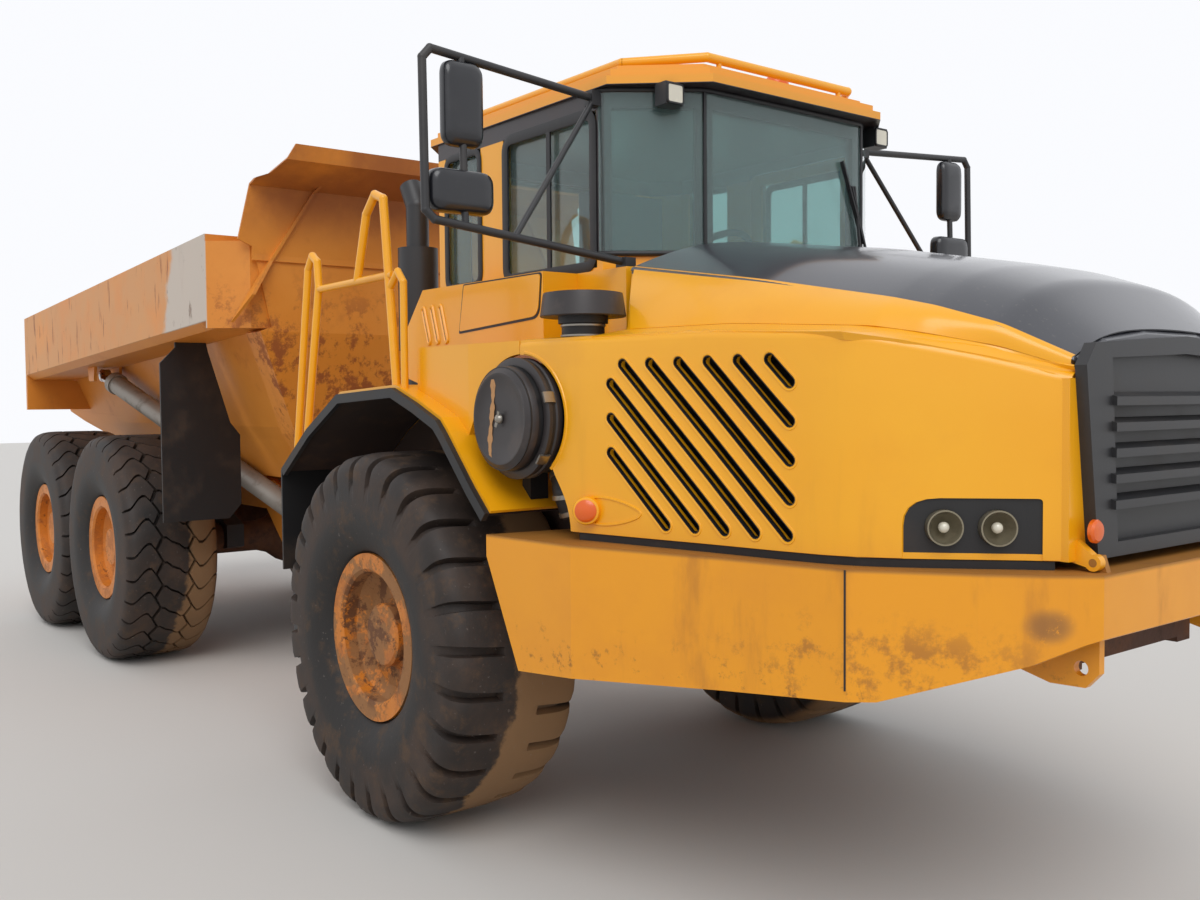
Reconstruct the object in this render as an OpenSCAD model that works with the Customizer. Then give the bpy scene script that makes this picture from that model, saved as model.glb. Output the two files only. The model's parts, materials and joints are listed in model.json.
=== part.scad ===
// Six-wheel articulated dump truck of the 35-tonne class, parked straight with its body down.
// Millimetres. +X is forward, +Y is left, +Z is up. The origin is on the ground, at mid length.
// Stations in the tables below are measured from the front axle, positive forward.

/* [Whole truck] */
// Length over all, from the nose of the bumper to the tail of the body
overall_l = 11170; // [11100:10:11250]
// Nose of the bumper ahead of the front axle
front_over = 3100; // [3090:5:3130]
// Front axle to middle axle
wheelbase = 4451; // [4440:1:4520]
// Middle axle to rear axle
bogie_gap = 1820; // [1800:5:1840]
// Distance between the middle planes of a left and a right tyre
track = 2534; // [2520:1:2560]
// Steering pivot behind the front axle
hitch_back = 1500; // [1490:1:1515]

/* [Wheels] */
// Outer diameter of a tyre over its lugs
tyre_d = 1730; // [1715:1:1740]
// Width of a tyre
tyre_w = 675; // [660:1:685]
// Diameter over the rim flanges
rim_d = 787; // [775:1:800]
// Width of a rim over its flanges
rim_w = 550; // [535:1:560]
// Depth of the disc behind the outer flange
dish_depth = 150; // [130:1:170]
// Radius of the hub cover
hub_r = 150; // [135:1:165]
// Number of lugs along each shoulder of a tyre
lug_count = 28; // [24:1:34]
// Depth of the grooves between the lugs
lug_deep = 42; // [30:1:48]
// Radius of the spindle that carries a wheel
spindle_r = 90; // [80:1:95]

/* [Front unit] */
// Top of the front frame beams
frame_top = 1420; // [1410:1:1430]
// Depth of the front frame beams
frame_deep = 320; // [300:1:340]
// Outer faces of the front frame beams, from the middle plane
frame_out = 440; // [430:1:445]
// Thickness of a frame beam
beam_t = 100; // [80:1:105]
// Top edge of the bumper
bumper_top = 1420; // [1410:1:1430]
// Thickness of the bumper plate
bumper_t = 30; // [20:1:36]
// Height of the hood shoulder, where the side ends and the upper band starts
shoulder_z = 2210; // [2200:1:2225]
// Lower edge of the hood sides
skirt_z = 1450; // [1445:1:1460]
// Thickness of the hood panels
hood_t = 26; // [18:1:30]
// Width of a cooling slot in the hood side
slot_w = 42; // [30:1:50]
// Distance from one cooling slot to the next, along the truck
slot_pitch = 128; // [124:1:132]
// Number of cooling slots in each hood side
slot_count = 9; // [6:1:9]
// Number of bars in the grille
bar_count = 5; // [3:1:6]
// Radius of the air cleaner canister
canister_r = 240; // [220:1:245]

/* [Cab] */
// Half width of the cab over its side walls
cab_half = 880; // [870:1:885]
// Height of the window sills
sill_z = 2545; // [2535:1:2555]
// Top of the windows
lintel_z = 3225; // [3210:1:3235]
// Height of the roof edge
roof_z = 3310; // [3300:1:3320]
// Floor of the cab
floor_z = 1950; // [1940:1:1960]
// Thickness of the cab walls and of the door
cab_t = 50; // [42:1:54]
// Thickness of the glass
glass_t = 8; // [6:1:10]
// Outside diameter of the handrail tube
rail_d = 42; // [36:1:46]
// Outside diameter of the mirror arm tube
arm_d = 34; // [28:1:38]

/* [Rear unit] */
// Bed hinge behind the rear axle
hinge_back = 930; // [915:1:945]
// Height of the bed hinge
hinge_z = 1270; // [1262:1:1276]
// Height of the top of the rear frame over the axles
rear_top = 1360; // [1350:1:1366]
// Outer faces of the rear frame beams, from the middle plane
rear_out = 430; // [420:1:435]
// Outside radius of a hoist cylinder tube
hoist_r = 80; // [74:1:82]
// Radius of a hoist rod
hoist_rod_r = 52; // [45:1:58]

/* [Dump body] */
// Half width of the body over its top rails
bed_half = 1450; // [1440:1:1456]
// Top of the rail at its front end
rail_top = 3030; // [3020:1:3040]
// Height of the rail at its front end
rail_deep = 590; // [570:1:600]
// Thickness of the body plates
plate_t = 20; // [14:1:24]
// Underside of the body floor
bed_floor = 1420; // [1414:1:1426]
// Half width of the floor between the tyres
floor_half = 600; // [590:1:610]

/* [Hidden] */
$fn = 48;

yellow = "gold";
orange = "goldenrod";
dark = "dimgray";
black = "black";

axle_x = overall_l / 2 - front_over;
wheel_r = tyre_d / 2;
mid_x = -wheelbase;
rear_x = -wheelbase - bogie_gap;
hinge_x = rear_x - hinge_back;
hitch_x = -hitch_back;
tail_x = front_over - overall_l;
chute_x = tail_x + 1770;
flap_at = mid_x + wheel_r + 286;
wheel_y = track / 2;
run_gap = 0.3;
rail_r = rail_d / 2;
arm_r = arm_d / 2;
frame_low = frame_top - frame_deep;
rail_low = rail_top - rail_deep;

// Carries what is drawn from the front axle to its place in the truck
module at_axle() translate([axle_x, 0, 0]) children();

// Draws its children on the right and mirrors them to the left
module both() { children(); mirror([0, 1, 0]) children(); }

// A side view outline [x, z], as a plate from y0 to y1
module side_plate(outline, y0, y1)
    translate([0, y1, 0]) rotate([90, 0, 0]) linear_extrude(y1 - y0) polygon(outline);

// A front view outline [y, z], as a plate from x0 to x1
module cross_plate(outline, x0, x1)
    translate([x0, 0, 0]) rotate([90, 0, 90]) linear_extrude(x1 - x0) polygon(outline);

// A round bar from point a to point b
module bar(a, b, r) {
    d = b - a;
    translate(a) rotate([0, acos(d[2] / norm(d)), atan2(d[1], d[0])]) cylinder(h = norm(d), r = r);
}

// A bent tube through points, with a ball a little over its size at each bend
module tube_path(p, r) {
    for (i = [0:len(p) - 2]) bar(p[i], p[i + 1], r);
    for (i = [1:1:len(p) - 2]) translate(p[i]) sphere(r = r + 0.6, $fn = 24);
}

function unit2(v) = v / norm(v);
function normal2(a, b) = let (d = unit2(b - a)) [-d[1], d[0]];
// The line p moved sideways to its left by t, with mitred corners
function inset(p, t) = [for (i = [0:len(p) - 1])
    let (last = len(p) - 1, n0 = normal2(p[max(i - 1, 0)], p[max(i, 1)]),
        n1 = normal2(p[min(i, last - 1)], p[min(i + 1, last)]), m = unit2(n0 + n1))
    p[i] + m * t / (m * n0)];
function turned(p) = [for (i = [len(p) - 1:-1:0]) p[i]];
// The outline of a wall of thickness t to the left of line p
function wall(p, t) = concat(p, turned(inset(p, t)));
// Both sides of an outline that is given for y above zero
function whole(p) = concat(p, [for (q = turned(p)) [-q[0], q[1]]]);
function shifted(g, v) = [for (row = g) [for (q = row) q + v]];

// A closed skin between an upper grid a and a lower grid b of points; rows run along +X, columns along +Y
module skin(a, b) {
    n = len(a);
    m = len(a[0]);
    k = n * m;
    points = concat([for (row = a) for (q = row) q], [for (row = b) for (q = row) q]);
    faces = concat(
        [for (i = [0:n - 2]) for (j = [0:m - 2]) for (t = [
            [i * m + j, i * m + j + 1, (i + 1) * m + j + 1], [i * m + j, (i + 1) * m + j + 1, (i + 1) * m + j],
            [k + i * m + j, k + (i + 1) * m + j + 1, k + i * m + j + 1],
            [k + i * m + j, k + (i + 1) * m + j, k + (i + 1) * m + j + 1]]) t],
        [for (i = [0:n - 2]) for (t = [
            [i * m, (i + 1) * m, k + (i + 1) * m], [i * m, k + (i + 1) * m, k + i * m],
            [(i + 2) * m - 1, (i + 1) * m - 1, k + (i + 1) * m - 1],
            [(i + 2) * m - 1, k + (i + 1) * m - 1, k + (i + 2) * m - 1]]) t],
        [for (j = [0:m - 2]) for (t = [
            [j + 1, j, k + j], [j + 1, k + j, k + j + 1],
            [(n - 1) * m + j, (n - 1) * m + j + 1, k + (n - 1) * m + j + 1],
            [(n - 1) * m + j, k + (n - 1) * m + j + 1, k + (n - 1) * m + j]]) t]);
    polyhedron(points = points, faces = faces);
}

front_groove = 44;
rear_groove = 24;

// Wheels: half sections as [radius, distance outboard of the wheel's middle plane]
bead_r = rim_d / 2 - 68;
barrel_in = bead_r - 20;
disc_y = rim_w / 2 - dish_depth;
disc_t = 24;
cover_y = disc_y + 95;
tyre_half = [
    [bead_r, 0], [bead_r, rim_w / 2 - 26], [rim_d / 2 + 4, rim_w / 2 - 26], [rim_d / 2 + 22, rim_w / 2 + 6],
    [rim_d / 2 + 120, tyre_w / 2 - 8], [rim_d / 2 + 205, tyre_w / 2], [wheel_r - 165, tyre_w / 2 - 6],
    [wheel_r - 65, tyre_w / 2 - 24], [wheel_r - 28, tyre_w / 2 - 50], [wheel_r - 4, tyre_w / 2 - 115], [wheel_r, 0]
];

module on_wheel(x, side) translate([x, side * wheel_y, wheel_r]) rotate([-90 * side, 0, 0]) children();

// Outline of a groove between two lugs, cut from the shoulder towards the middle [radius, distance outboard]
groove_half = [[wheel_r + 10, 130], [wheel_r - lug_deep, 140], [wheel_r - lug_deep - 16, tyre_w / 2 - 90],
    [wheel_r - 170, tyre_w / 2 + 4], [wheel_r + 10, tyre_w / 2 + 4]];
module tyre(x, side, groove_w) color(black) at_axle() on_wheel(x, side) difference() {
    rotate_extrude($fn = 96) polygon(concat(tyre_half, [for (q = turned(tyre_half)) if (q[1] > 0) [q[0], -q[1]]]));
    for (k = [0:lug_count - 1]) for (half = [0, 1])
        rotate([0, 0, (k + half / 2) * 360 / lug_count]) mirror([0, 0, half]) translate([0, groove_w / 2, 0])
            rotate([90, 0, 0]) linear_extrude(groove_w) polygon(groove_half);
}

module rim(x, side) color(orange) at_axle() on_wheel(x, side) {
    rotate_extrude($fn = 96) polygon([
        [barrel_in, -rim_w / 2], [rim_d / 2, -rim_w / 2], [rim_d / 2, -rim_w / 2 + 20],
        [rim_d / 2 - 14, -rim_w / 2 + 25], [bead_r, -rim_w / 2 + 25], [bead_r, rim_w / 2 - 25],
        [rim_d / 2 - 14, rim_w / 2 - 25], [rim_d / 2, rim_w / 2 - 20], [rim_d / 2, rim_w / 2],
        [barrel_in + 14, rim_w / 2], [barrel_in, rim_w / 2 - 14],
        [barrel_in, disc_y + 70], [barrel_in - 50, disc_y + disc_t], [hub_r + 20, disc_y + disc_t],
        [hub_r, disc_y + disc_t + 20], [hub_r, cover_y - 12], [hub_r - 12, cover_y], [0, cover_y],
        [0, disc_y + 60], [spindle_r + run_gap, disc_y + 60], [spindle_r + run_gap, disc_y],
        [barrel_in - 60, disc_y], [barrel_in - 20, disc_y - 30], [barrel_in - 20, -rim_w / 2 + 10]
    ]);
}

// Axles: the housing is turned about the wheels' own line
drum_r = barrel_in - 60;
module axle_housing(x) translate([x, 0, wheel_r]) rotate([90, 0, 0]) {
    for (s = [0, 180]) rotate([s, 0, 0]) rotate_extrude() polygon([
        [0, 0], [250, 0], [250, 60], [215, 150], [150, 240], [125, 330], [125, 700], [200, 740], [200, 790],
        [drum_r, 800], [drum_r, wheel_y + disc_y - 4], [spindle_r, wheel_y + disc_y - 2],
        [spindle_r, wheel_y + disc_y + 56], [0, wheel_y + disc_y + 56]]);
}

spring_y = frame_out - beam_t / 2;
module front_axle() color(dark) at_axle() {
    axle_housing(0);
    both() translate([0, -spring_y, wheel_r + 100]) cylinder(h = frame_low - wheel_r - 100, r = 70);
    // Leading arms that locate the axle under the frame
    both() bar([100, -spring_y, wheel_r], [1150, -spring_y, frame_low - 50], 48);
}

module rear_axles() color(dark) at_axle() {
    axle_housing(mid_x);
    axle_housing(rear_x);
}

// Front frame: two beams, cross members and the fork of the steering pivot
pivot_r = 62;
fork_top = frame_top - 60;
fork_low = 700;
fork_t = 60;
hitch_mid = (fork_top + fork_low) / 2;
steer_pin = [hitch_x + 980, 560];
beam_end = hitch_x + 860;
fork_half = 190;
steer_z = hitch_mid - 130;
module front_frame() color(dark) at_axle() {
    difference() {
        union() {
            both() side_plate([
                [front_over - 250, frame_low - 60], [front_over - 250, frame_top - 60],
                [2740, frame_top - 40], [2580, frame_top - 40], [2200, frame_top],
                [beam_end, frame_top], [beam_end, frame_low], [1500, frame_low], [2200, frame_low - 60]], -frame_out, -frame_out + beam_t);
            // Cross members: station of the rear face, length, lower and upper face
            for (c = [[2700, 150, frame_low - 40, frame_top - 90], [1650, 160, frame_low, frame_low + 90],
                    [700, 160, frame_low, frame_low + 90]])
                translate([c[0], -frame_out + beam_t, c[2]])
                    cube([c[1], 2 * (frame_out - beam_t), c[3] - c[2]]);
            for (z = [fork_top - fork_t, fork_low]) {
                translate([hitch_x, 0, z]) cylinder(h = fork_t, r = fork_half);
                translate([hitch_x, -fork_half, z]) cube([beam_end + 140 - hitch_x, 2 * fork_half, fork_t]);
            }
            both() translate([hitch_x + 340, -fork_half, fork_low])
                cube([beam_end - hitch_x - 200, 50, fork_top - fork_low]);
            translate([beam_end, -frame_out, fork_low]) cube([140, 2 * frame_out, frame_top - fork_low]);
            // Ears of the steering cylinders
            both() for (z = [steer_z - 62, steer_z + 40])
                translate([steer_pin[0] - 70, -steer_pin[1] - 60, z])
                    cube([140, steer_pin[1] + 60 - frame_out, 22]);
            both() translate([steer_pin[0], -steer_pin[1], steer_z - 62]) cylinder(h = 124, r = 24);
            both() side_plate([[steer_pin[0] - 120, steer_z - 62], [steer_pin[0] - 120, frame_low + 40],
                [steer_pin[0] + 120, frame_low + 40], [steer_pin[0] + 120, steer_z - 62]],
                -frame_out, -frame_out + 30);
        }
        translate([hitch_x, 0, fork_low - 1]) cylinder(h = fork_top - fork_low + 2, r = pivot_r + run_gap);
    }
}

// Hitch: a barrel on the steering pin and a tube that turns in the rear frame's collar
roll_r = 190;
collar_x = hitch_x - 330;
collar_l = 220;
rod_eye = [hitch_x + 10, 380];
module hitch() color(dark) at_axle() {
    translate([hitch_x, 0, fork_low - 8]) cylinder(h = fork_top - fork_low + 16, r = pivot_r);
    translate([hitch_x, 0, fork_low + fork_t + 1]) cylinder(h = fork_top - fork_low - 2 * fork_t - 2, r = 150);
    translate([collar_x - collar_l + 12, 0, hitch_mid]) rotate([0, 90, 0])
        cylinder(h = hitch_x - collar_x + collar_l - 12, r = roll_r);
    // Ears that the steering rods reach
    for (z = [steer_z - 76, steer_z + 54]) rod_ear_plate(z, 22);
}
module rod_ear_plate(z, t) translate([0, 0, z]) linear_extrude(t) polygon([
    [hitch_x - 120, -rod_eye[1] - 60], [hitch_x + 70, -rod_eye[1] - 60], [hitch_x + 70, -rod_eye[1] + 60],
    [hitch_x + 60, -120], [hitch_x + 60, 120], [hitch_x + 70, rod_eye[1] - 60],
    [hitch_x + 70, rod_eye[1] + 60], [hitch_x - 120, rod_eye[1] + 60], [hitch_x - 200, 150], [hitch_x - 200, -150]]);

// Steering cylinders: side is -1 on the right and 1 on the left
steer_r = 52;
steer_rod = 30;
steer_vec = [rod_eye[0] - steer_pin[0], steer_pin[1] - rod_eye[1]];
steer_len = norm(steer_vec);
steer_dir = atan2(steer_vec[1], steer_vec[0]);
steer_tube_l = 675;
steer_rod_x = 372;
module on_steer(side) translate([steer_pin[0], side * steer_pin[1], steer_z])
    rotate([0, 0, -side * steer_dir]) children();
module steer_tube(side) color(dark) at_axle() on_steer(side) difference() {
    union() {
        rotate([0, 90, 0]) translate([0, 0, 95]) cylinder(h = steer_tube_l - 95, r = steer_r);
        translate([0, -30, -34]) cube([110, 60, 68]);
        translate([0, 0, -36]) cylinder(h = 72, r = 46);
    }
    translate([0, 0, -40]) cylinder(h = 80, r = 24 + run_gap);
    translate([110, 0, 0]) rotate([0, 90, 0]) cylinder(h = steer_tube_l, r = steer_rod + run_gap);
}
module steer_rod(side) color("silver") at_axle() on_steer(side) {
    translate([steer_rod_x, 0, 0]) rotate([0, 90, 0]) cylinder(h = steer_len - steer_rod_x - 30, r = steer_rod);
    translate([steer_len, 0, -34]) difference() {
        cylinder(h = 68, r = 44);
        translate([0, 0, -1]) cylinder(h = 70, r = 24);
    }
}

module engine() color("lightgray") at_axle()
    translate([960, -300, frame_low + 90]) cube([1390, 600, 740]);

module radiator() color(black) at_axle() translate([2600, -480, frame_top - 40]) cube([120, 960, 700]);

// Bumper: plan of its outer face on the right, from the rear end to the middle [x, y]
bumper_plan = [[front_over - 2200, -1470], [front_over - 1680, -1430], [front_over - 1050, -1250],
    [front_over - 600, -1150], [front_over - 270, -920], [front_over - 110, -790], [front_over, -670],
    [front_over, 0]];
bumper_side = [[front_over - 2240, bumper_top], [front_over + 1, bumper_top], [front_over + 1, 1225],
    [front_over - 40, 1205], [front_over - 150, 1140], [front_over - 520, 1000], [front_over - 2000, 890]];
tow_eye_r = 24;
module bumper() color(yellow) at_axle() {
    intersection() {
        both() {
            translate([0, 0, 850]) linear_extrude(bumper_top - 850) polygon(wall(bumper_plan, bumper_t));
            translate([0, 0, bumper_top - 26]) linear_extrude(26) polygon(concat(bumper_plan,
                [[front_over - 240, 0], [front_over - 240, -frame_out], [front_over - 900, -700],
                    [front_over - 2130, -1080]]));
        }
        side_plate(bumper_side, -1600, 1600);
    }
    // Stays to the frame
    both() translate([front_over - 250, -frame_out, bumper_top - 180]) cube([240, beam_t, 154]);
    // Towing eyes under the nose
    both() difference() {
        side_plate([[front_over - 330, bumper_top - 20], [front_over - 330, 1075], [front_over - 210, 1045],
            [front_over - 90, 1050], [front_over - 45, 1100], [front_over - 45, bumper_top - 20]], -610, -580);
        translate([front_over - 105, -620, 1110]) rotate([-90, 0, 0]) cylinder(h = 50, r = tow_eye_r);
    }
    // Lugs of the hood hinge
    both() {
        side_plate([[hood_pin[0] - 30, bumper_top], [hood_pin[0] - 14, hood_pin[1] + 22],
            [hood_pin[0] + 14, hood_pin[1] + 22], [hood_pin[0] + 30, bumper_top]], -610, -585);
        bar([hood_pin[0], -610, hood_pin[1]], [hood_pin[0], -640, hood_pin[1]], hood_pin_r);
    }
}
hood_pin = [front_over - 54, 1450];
hood_pin_r = 13;

// Cab: plan of the outer face, right side first, from the front middle round to the rear middle
cab_front = 1200;
cab_rear = -620;
cab_plan = [[cab_front, -520], [940, -cab_half], [-440, -cab_half], [cab_rear, -720], [cab_rear, 720],
    [-440, cab_half], [940, cab_half], [cab_front, 520]];
function ring_in(p, t) = let (n = len(p)) [for (i = [0:n - 1])
    let (n0 = normal2(p[(i + n - 1) % n], p[i]), n1 = normal2(p[i], p[(i + 1) % n]), m = unit2(n0 + n1))
    p[i] - m * t / (m * n0)];
module cab_ring(t0, t1, z0, z1) translate([0, 0, z0]) linear_extrude(z1 - z0) difference() {
    polygon(ring_in(cab_plan, t0));
    polygon(ring_in(cab_plan, t1));
}
door_x0 = 160;
door_x1 = 900;
door_z0 = 2080;
door_z1 = lintel_z + 25;
door_gap = 8;
hinge_pin = [150, cab_half + 20];
knuckle_r = 14;
door_hinges = [2250, 3050];
// Window openings: front middle, front corners, right side, rear sides and back
roof_edge = [[1300, -560], [1000, -900], [-500, -890], [-660, -740], [-660, 740], [-500, 890], [1000, 900],
    [1300, 560]];
module windows() {
    translate([1000, -470, sill_z + 90]) cube([400, 940, lintel_z - sill_z - 90]);
    both() translate([1070, -700, sill_z + 60]) rotate([0, 0, 54.2]) translate([-180, -160, 0])
        cube([360, 320, lintel_z - sill_z - 60]);
    translate([170, -1000, sill_z]) cube([730, 200, lintel_z - sill_z]);
    both() translate([-370, -1000, sill_z]) cube([340, 200, lintel_z - sill_z]);
    translate([cab_rear - 100, -600, sill_z + 60]) cube([200, 1200, lintel_z - sill_z - 60]);
}
module cab_shell() color(yellow) at_axle() {
    difference() {
        cab_ring(0, cab_t, floor_z, roof_z);
        windows();
        translate([door_x0, cab_half - 200, door_z0]) cube([door_x1 - door_x0, 400, door_z1 - door_z0]);
    }
    translate([0, 0, floor_z]) linear_extrude(40) polygon(ring_in(cab_plan, cab_t));
    // Lower knuckles of the door hinges
    for (z = door_hinges) {
        translate([hinge_pin[0], hinge_pin[1], z]) cylinder(h = 50, r = knuckle_r);
        translate([hinge_pin[0] - knuckle_r, cab_half - 2, z]) cube([2 * knuckle_r - 4, hinge_pin[1] - cab_half, 50]);
    }
    // Legs to the frame
    for (x = [-500, 500]) both() translate([x, -frame_out, frame_top])
        cube([120, beam_t, floor_z - frame_top]);
    // Roof with its visor
    translate([0, 0, roof_z]) linear_extrude(38) polygon(roof_edge);
    translate([0, 0, roof_z + 38]) linear_extrude(37) polygon(ring_in(roof_edge, 35));
    translate([0, 0, roof_z + 75]) linear_extrude(30) polygon(ring_in(roof_edge, 95));
}
module cab_glass() color("lightblue") at_axle() {
    intersection() {
        cab_ring(cab_t / 2 - glass_t / 2, cab_t / 2 + glass_t / 2, sill_z - 10, lintel_z + 10);
        windows();
    }
}
module cab_door() color(yellow) at_axle() {
    for (z = door_hinges) {
        translate([hinge_pin[0], hinge_pin[1], z + 50.3]) cylinder(h = 70, r = knuckle_r);
        translate([hinge_pin[0], cab_half + 0.3, z + 50.3]) cube([50, 13, 70]);
        translate([door_x0 + 12, cab_half - 1, z + 50.3]) cube([38, 12, 70]);
    }
    door_leaf();
}
module door_leaf() difference() {
    translate([door_x0 + door_gap, cab_half - cab_t, door_z0 + door_gap])
        cube([door_x1 - door_x0 - 2 * door_gap, cab_t, door_z1 - door_z0 - 2 * door_gap]);
    translate([door_x0 + 80, cab_half - 100, sill_z]) cube([door_x1 - door_x0 - 160, 200, lintel_z - sill_z - 40]);
}
module door_glass() color("lightblue") at_axle()
    translate([door_x0 + 80, cab_half - cab_t / 2 - glass_t / 2, sill_z])
        cube([door_x1 - door_x0 - 160, glass_t, lintel_z - sill_z - 40]);

module seat() color("slategray") at_axle() {
    translate([120, -250, floor_z + 40]) cube([400, 500, 380]);
    translate([60, -250, floor_z + 420]) cube([500, 500, 130]);
    translate([-60, -240, floor_z + 420]) cube([120, 480, 700]);
}
steer_hub = [725, 0, 2650];
module dash() color(dark) at_axle() {
    side_plate([[900, floor_z + 40], [860, 2480], [1000, 2590], [1120, 2600], [1120, floor_z + 40]], -500, 500);
    // Steering column and wheel
    bar([910, 0, 2450], steer_hub, 30);
    translate(steer_hub) rotate([0, -40, 0]) {
        rotate_extrude() translate([190, 0]) circle(r = 17, $fn = 24);
        cylinder(h = 24, r = 60, center = true);
        cube([30, 380, 16], center = true);
    }
}
module roof_rail() color(yellow) at_axle() {
    z = roof_z + 150;
    tube_path([[-540, -715, z], [880, -715, z], [1170, -470, z], [1170, 470, z], [880, 715, z], [-540, 715, z]],
        rail_r);
    both() for (x = [-480, 250, 840]) bar([x, -715, roof_z + 105], [x, -715, z], 12);
    both() bar([1170, -400, roof_z + 105], [1170, -400, z], 12);
}
module beacon() color("orangered") at_axle() {
    translate([900, 260, roof_z + 105]) cylinder(h = 39, r = 72);
    translate([900, 260, roof_z + 144]) cylinder(h = 60, r = 62);
    translate([900, 260, roof_z + 204]) sphere(r = 61);
}
module lamps() color(dark) at_axle() {
    for (p = [[1130, -690], [1130, 690]]) translate([p[0], p[1] - 50, roof_z - 95]) cube([70, 100, 95]);
}

// Fenders: side view line over the front wheel, from its front foot to its rear foot [x, z]
arch = [[945, 1510], [835, 1611], [617, 1835], [560, 1886], [371, 1960], [162, 2030], [-400, 2005],
    [-760, 1828], [-1090, 1610]];
fender_t = 14;
// Everything under the fender's upper face, for cutting the feet that stand on it
module under_arch(lift) side_plate(concat(inset(arch, -fender_t - lift), [[-1400, 1100], [1060, 1100]]), -1700, -700);
fender_out = 1480;
fender_in = 900;
module fenders() color(yellow) at_axle() both() {
    side_plate(wall(arch, -fender_t), -fender_out, -fender_in);
    // Inner wall of the wheel well
    side_plate(concat(arch, [[-1090, frame_top], [945, frame_top]]), -fender_in, -fender_in + fender_t);
    translate([-600, -fender_in, frame_top - 60]) cube([1400, fender_in - frame_out, 60]);
}
flap_x = -1106;
module fender_lips() color(black) at_axle() both() {
    side_plate(wall(arch, 45), -fender_out - 25, -fender_out);
    side_plate([[flap_x, 1600], [flap_x + 14, 1612], [flap_x + 14, 1060], [flap_x, 1060]], -fender_out - 20,
        -fender_in - 40);
}

module rail_set() {
    y = -1450;
    tube_path([[126, y, 2010], [20, y, 2910], [-60, y, 2940], [-150, y, 2860], [-255, y, 2552]], rail_r);
    bar([105, y, 2552], [-690, y, 2548], rail_r - 3);
    tube_path([[-900, y, 1620], [-690, y, 2560], [-705, y, 2690], [-760, y, 2725], [-815, y, 2660],
        [-1020, y, 1560]], rail_r);
    tube_path([[60, y, 2480], [150, y, 2562], [200, y, 2510], [200, y, 1990]], rail_r - 4);
}
module handrails() color(yellow) at_axle() {
    both() difference() {
        rail_set();
        under_arch(0);
    }
}
module ladders() color(dark) at_axle() both() {
    for (y = [-1420, -1010]) translate([flap_x - 50, y, 560]) cube([50, 14, 1030]);
    for (z = [600, 860, 1120, 1380]) translate([flap_x - 56, -1420, z]) cube([56, 424, 22]);
}

// Cowl under the windscreen, with the locker under the right hand windows
cowl_half = 915;
cowl_top = 2525;
locker_half = 1100;
locker_x = 800;
module cowl() color(yellow) at_axle() {
    both() translate([0, 0, shoulder_z + 22]) linear_extrude(cowl_top - shoulder_z - 22)
        polygon([[1140, -cowl_half], [cab_front + 25, -640], [cab_front + 25, -520], [cab_front, -520],
            [940, -cab_half], [940, -cowl_half]]);
    cross_plate(whole([[520, shoulder_z + 22], [520, 2610], [270, 2640], [0, 2640]]), cab_front, cab_front + 25);
    side_plate([[locker_x, shoulder_z + 22], [locker_x, cowl_top], [-240, cowl_top], [-400, 2350], [-420, 2090],
        [-300, 2060], [-200, shoulder_z + 22]], -locker_half, -cab_half);
    side_plate([[locker_x, shoulder_z + 22], [locker_x, cowl_top], [940, cowl_top], [940, shoulder_z + 22]],
        -cowl_half, -cab_half);
}

// Air cleaner beside the engine, with its elbow
canister = [985, 1893];
module air_cleaner() color(black) at_axle() {
    translate([canister[0], -1110, canister[1]]) rotate([90, 0, 0]) {
        cylinder(h = 250, r = canister_r - 14);
        translate([0, 0, 215]) cylinder(h = 60, r = canister_r);
        translate([0, 0, 275]) cylinder(h = 60, r = canister_r - 30);
    }
    tube_path([[1060, -1190, 1720], [1110, -1210, 1590], [1130, -1180, 1500]], 60);
    // Foot on the fender
    difference() {
        translate([860, -1260, 1450]) cube([60, 90, 260]);
        under_arch(0);
    }
}
module exhaust() color(dark) at_axle() {
    tube_path([[-760, -830, 1900], [-760, -830, 3040], [-830, -830, 3160]], 62);
    translate([-760, -830, 2250]) cylinder(h = 560, r = 110);
    difference() {
        translate([-760, -850, 2100]) cube([300, 40, 60]);
        translate([0, 0, floor_z]) linear_extrude(roof_z - floor_z) polygon(cab_plan);
    }
}

// Mirror arms, right side; the left side mirrors them
module mirror_arm(ease) {
    tube_path([[915, -905, 3268], [965, -1740, 3320], [965, -1775, 3280], [975, -1775, 2700], [985, -1740, 2665],
        [1094, -878, 2548]], arm_r + ease);
    tube_path([[960, -1600, 3311], [980, -1600, 2650]], arm_r - 2 + ease);
    bar([915, -905, 3262], [1028, -1400, 2617], arm_r - 4);
    translate([880, -930, 3235]) cube([58, 50, 65]);
    translate([1060, -905, cowl_top]) cube([66, 56, 42]);
}
module mirror_arms() color(black) at_axle() both() mirror_arm(0);
module mirrors() color(black) at_axle() both() difference() {
    union() {
        translate([940, -1690, 2960]) cube([60, 180, 330]);
        translate([930, -1755, 2700]) cube([75, 290, 170]);
    }
    mirror_arm(run_gap);
}

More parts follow.
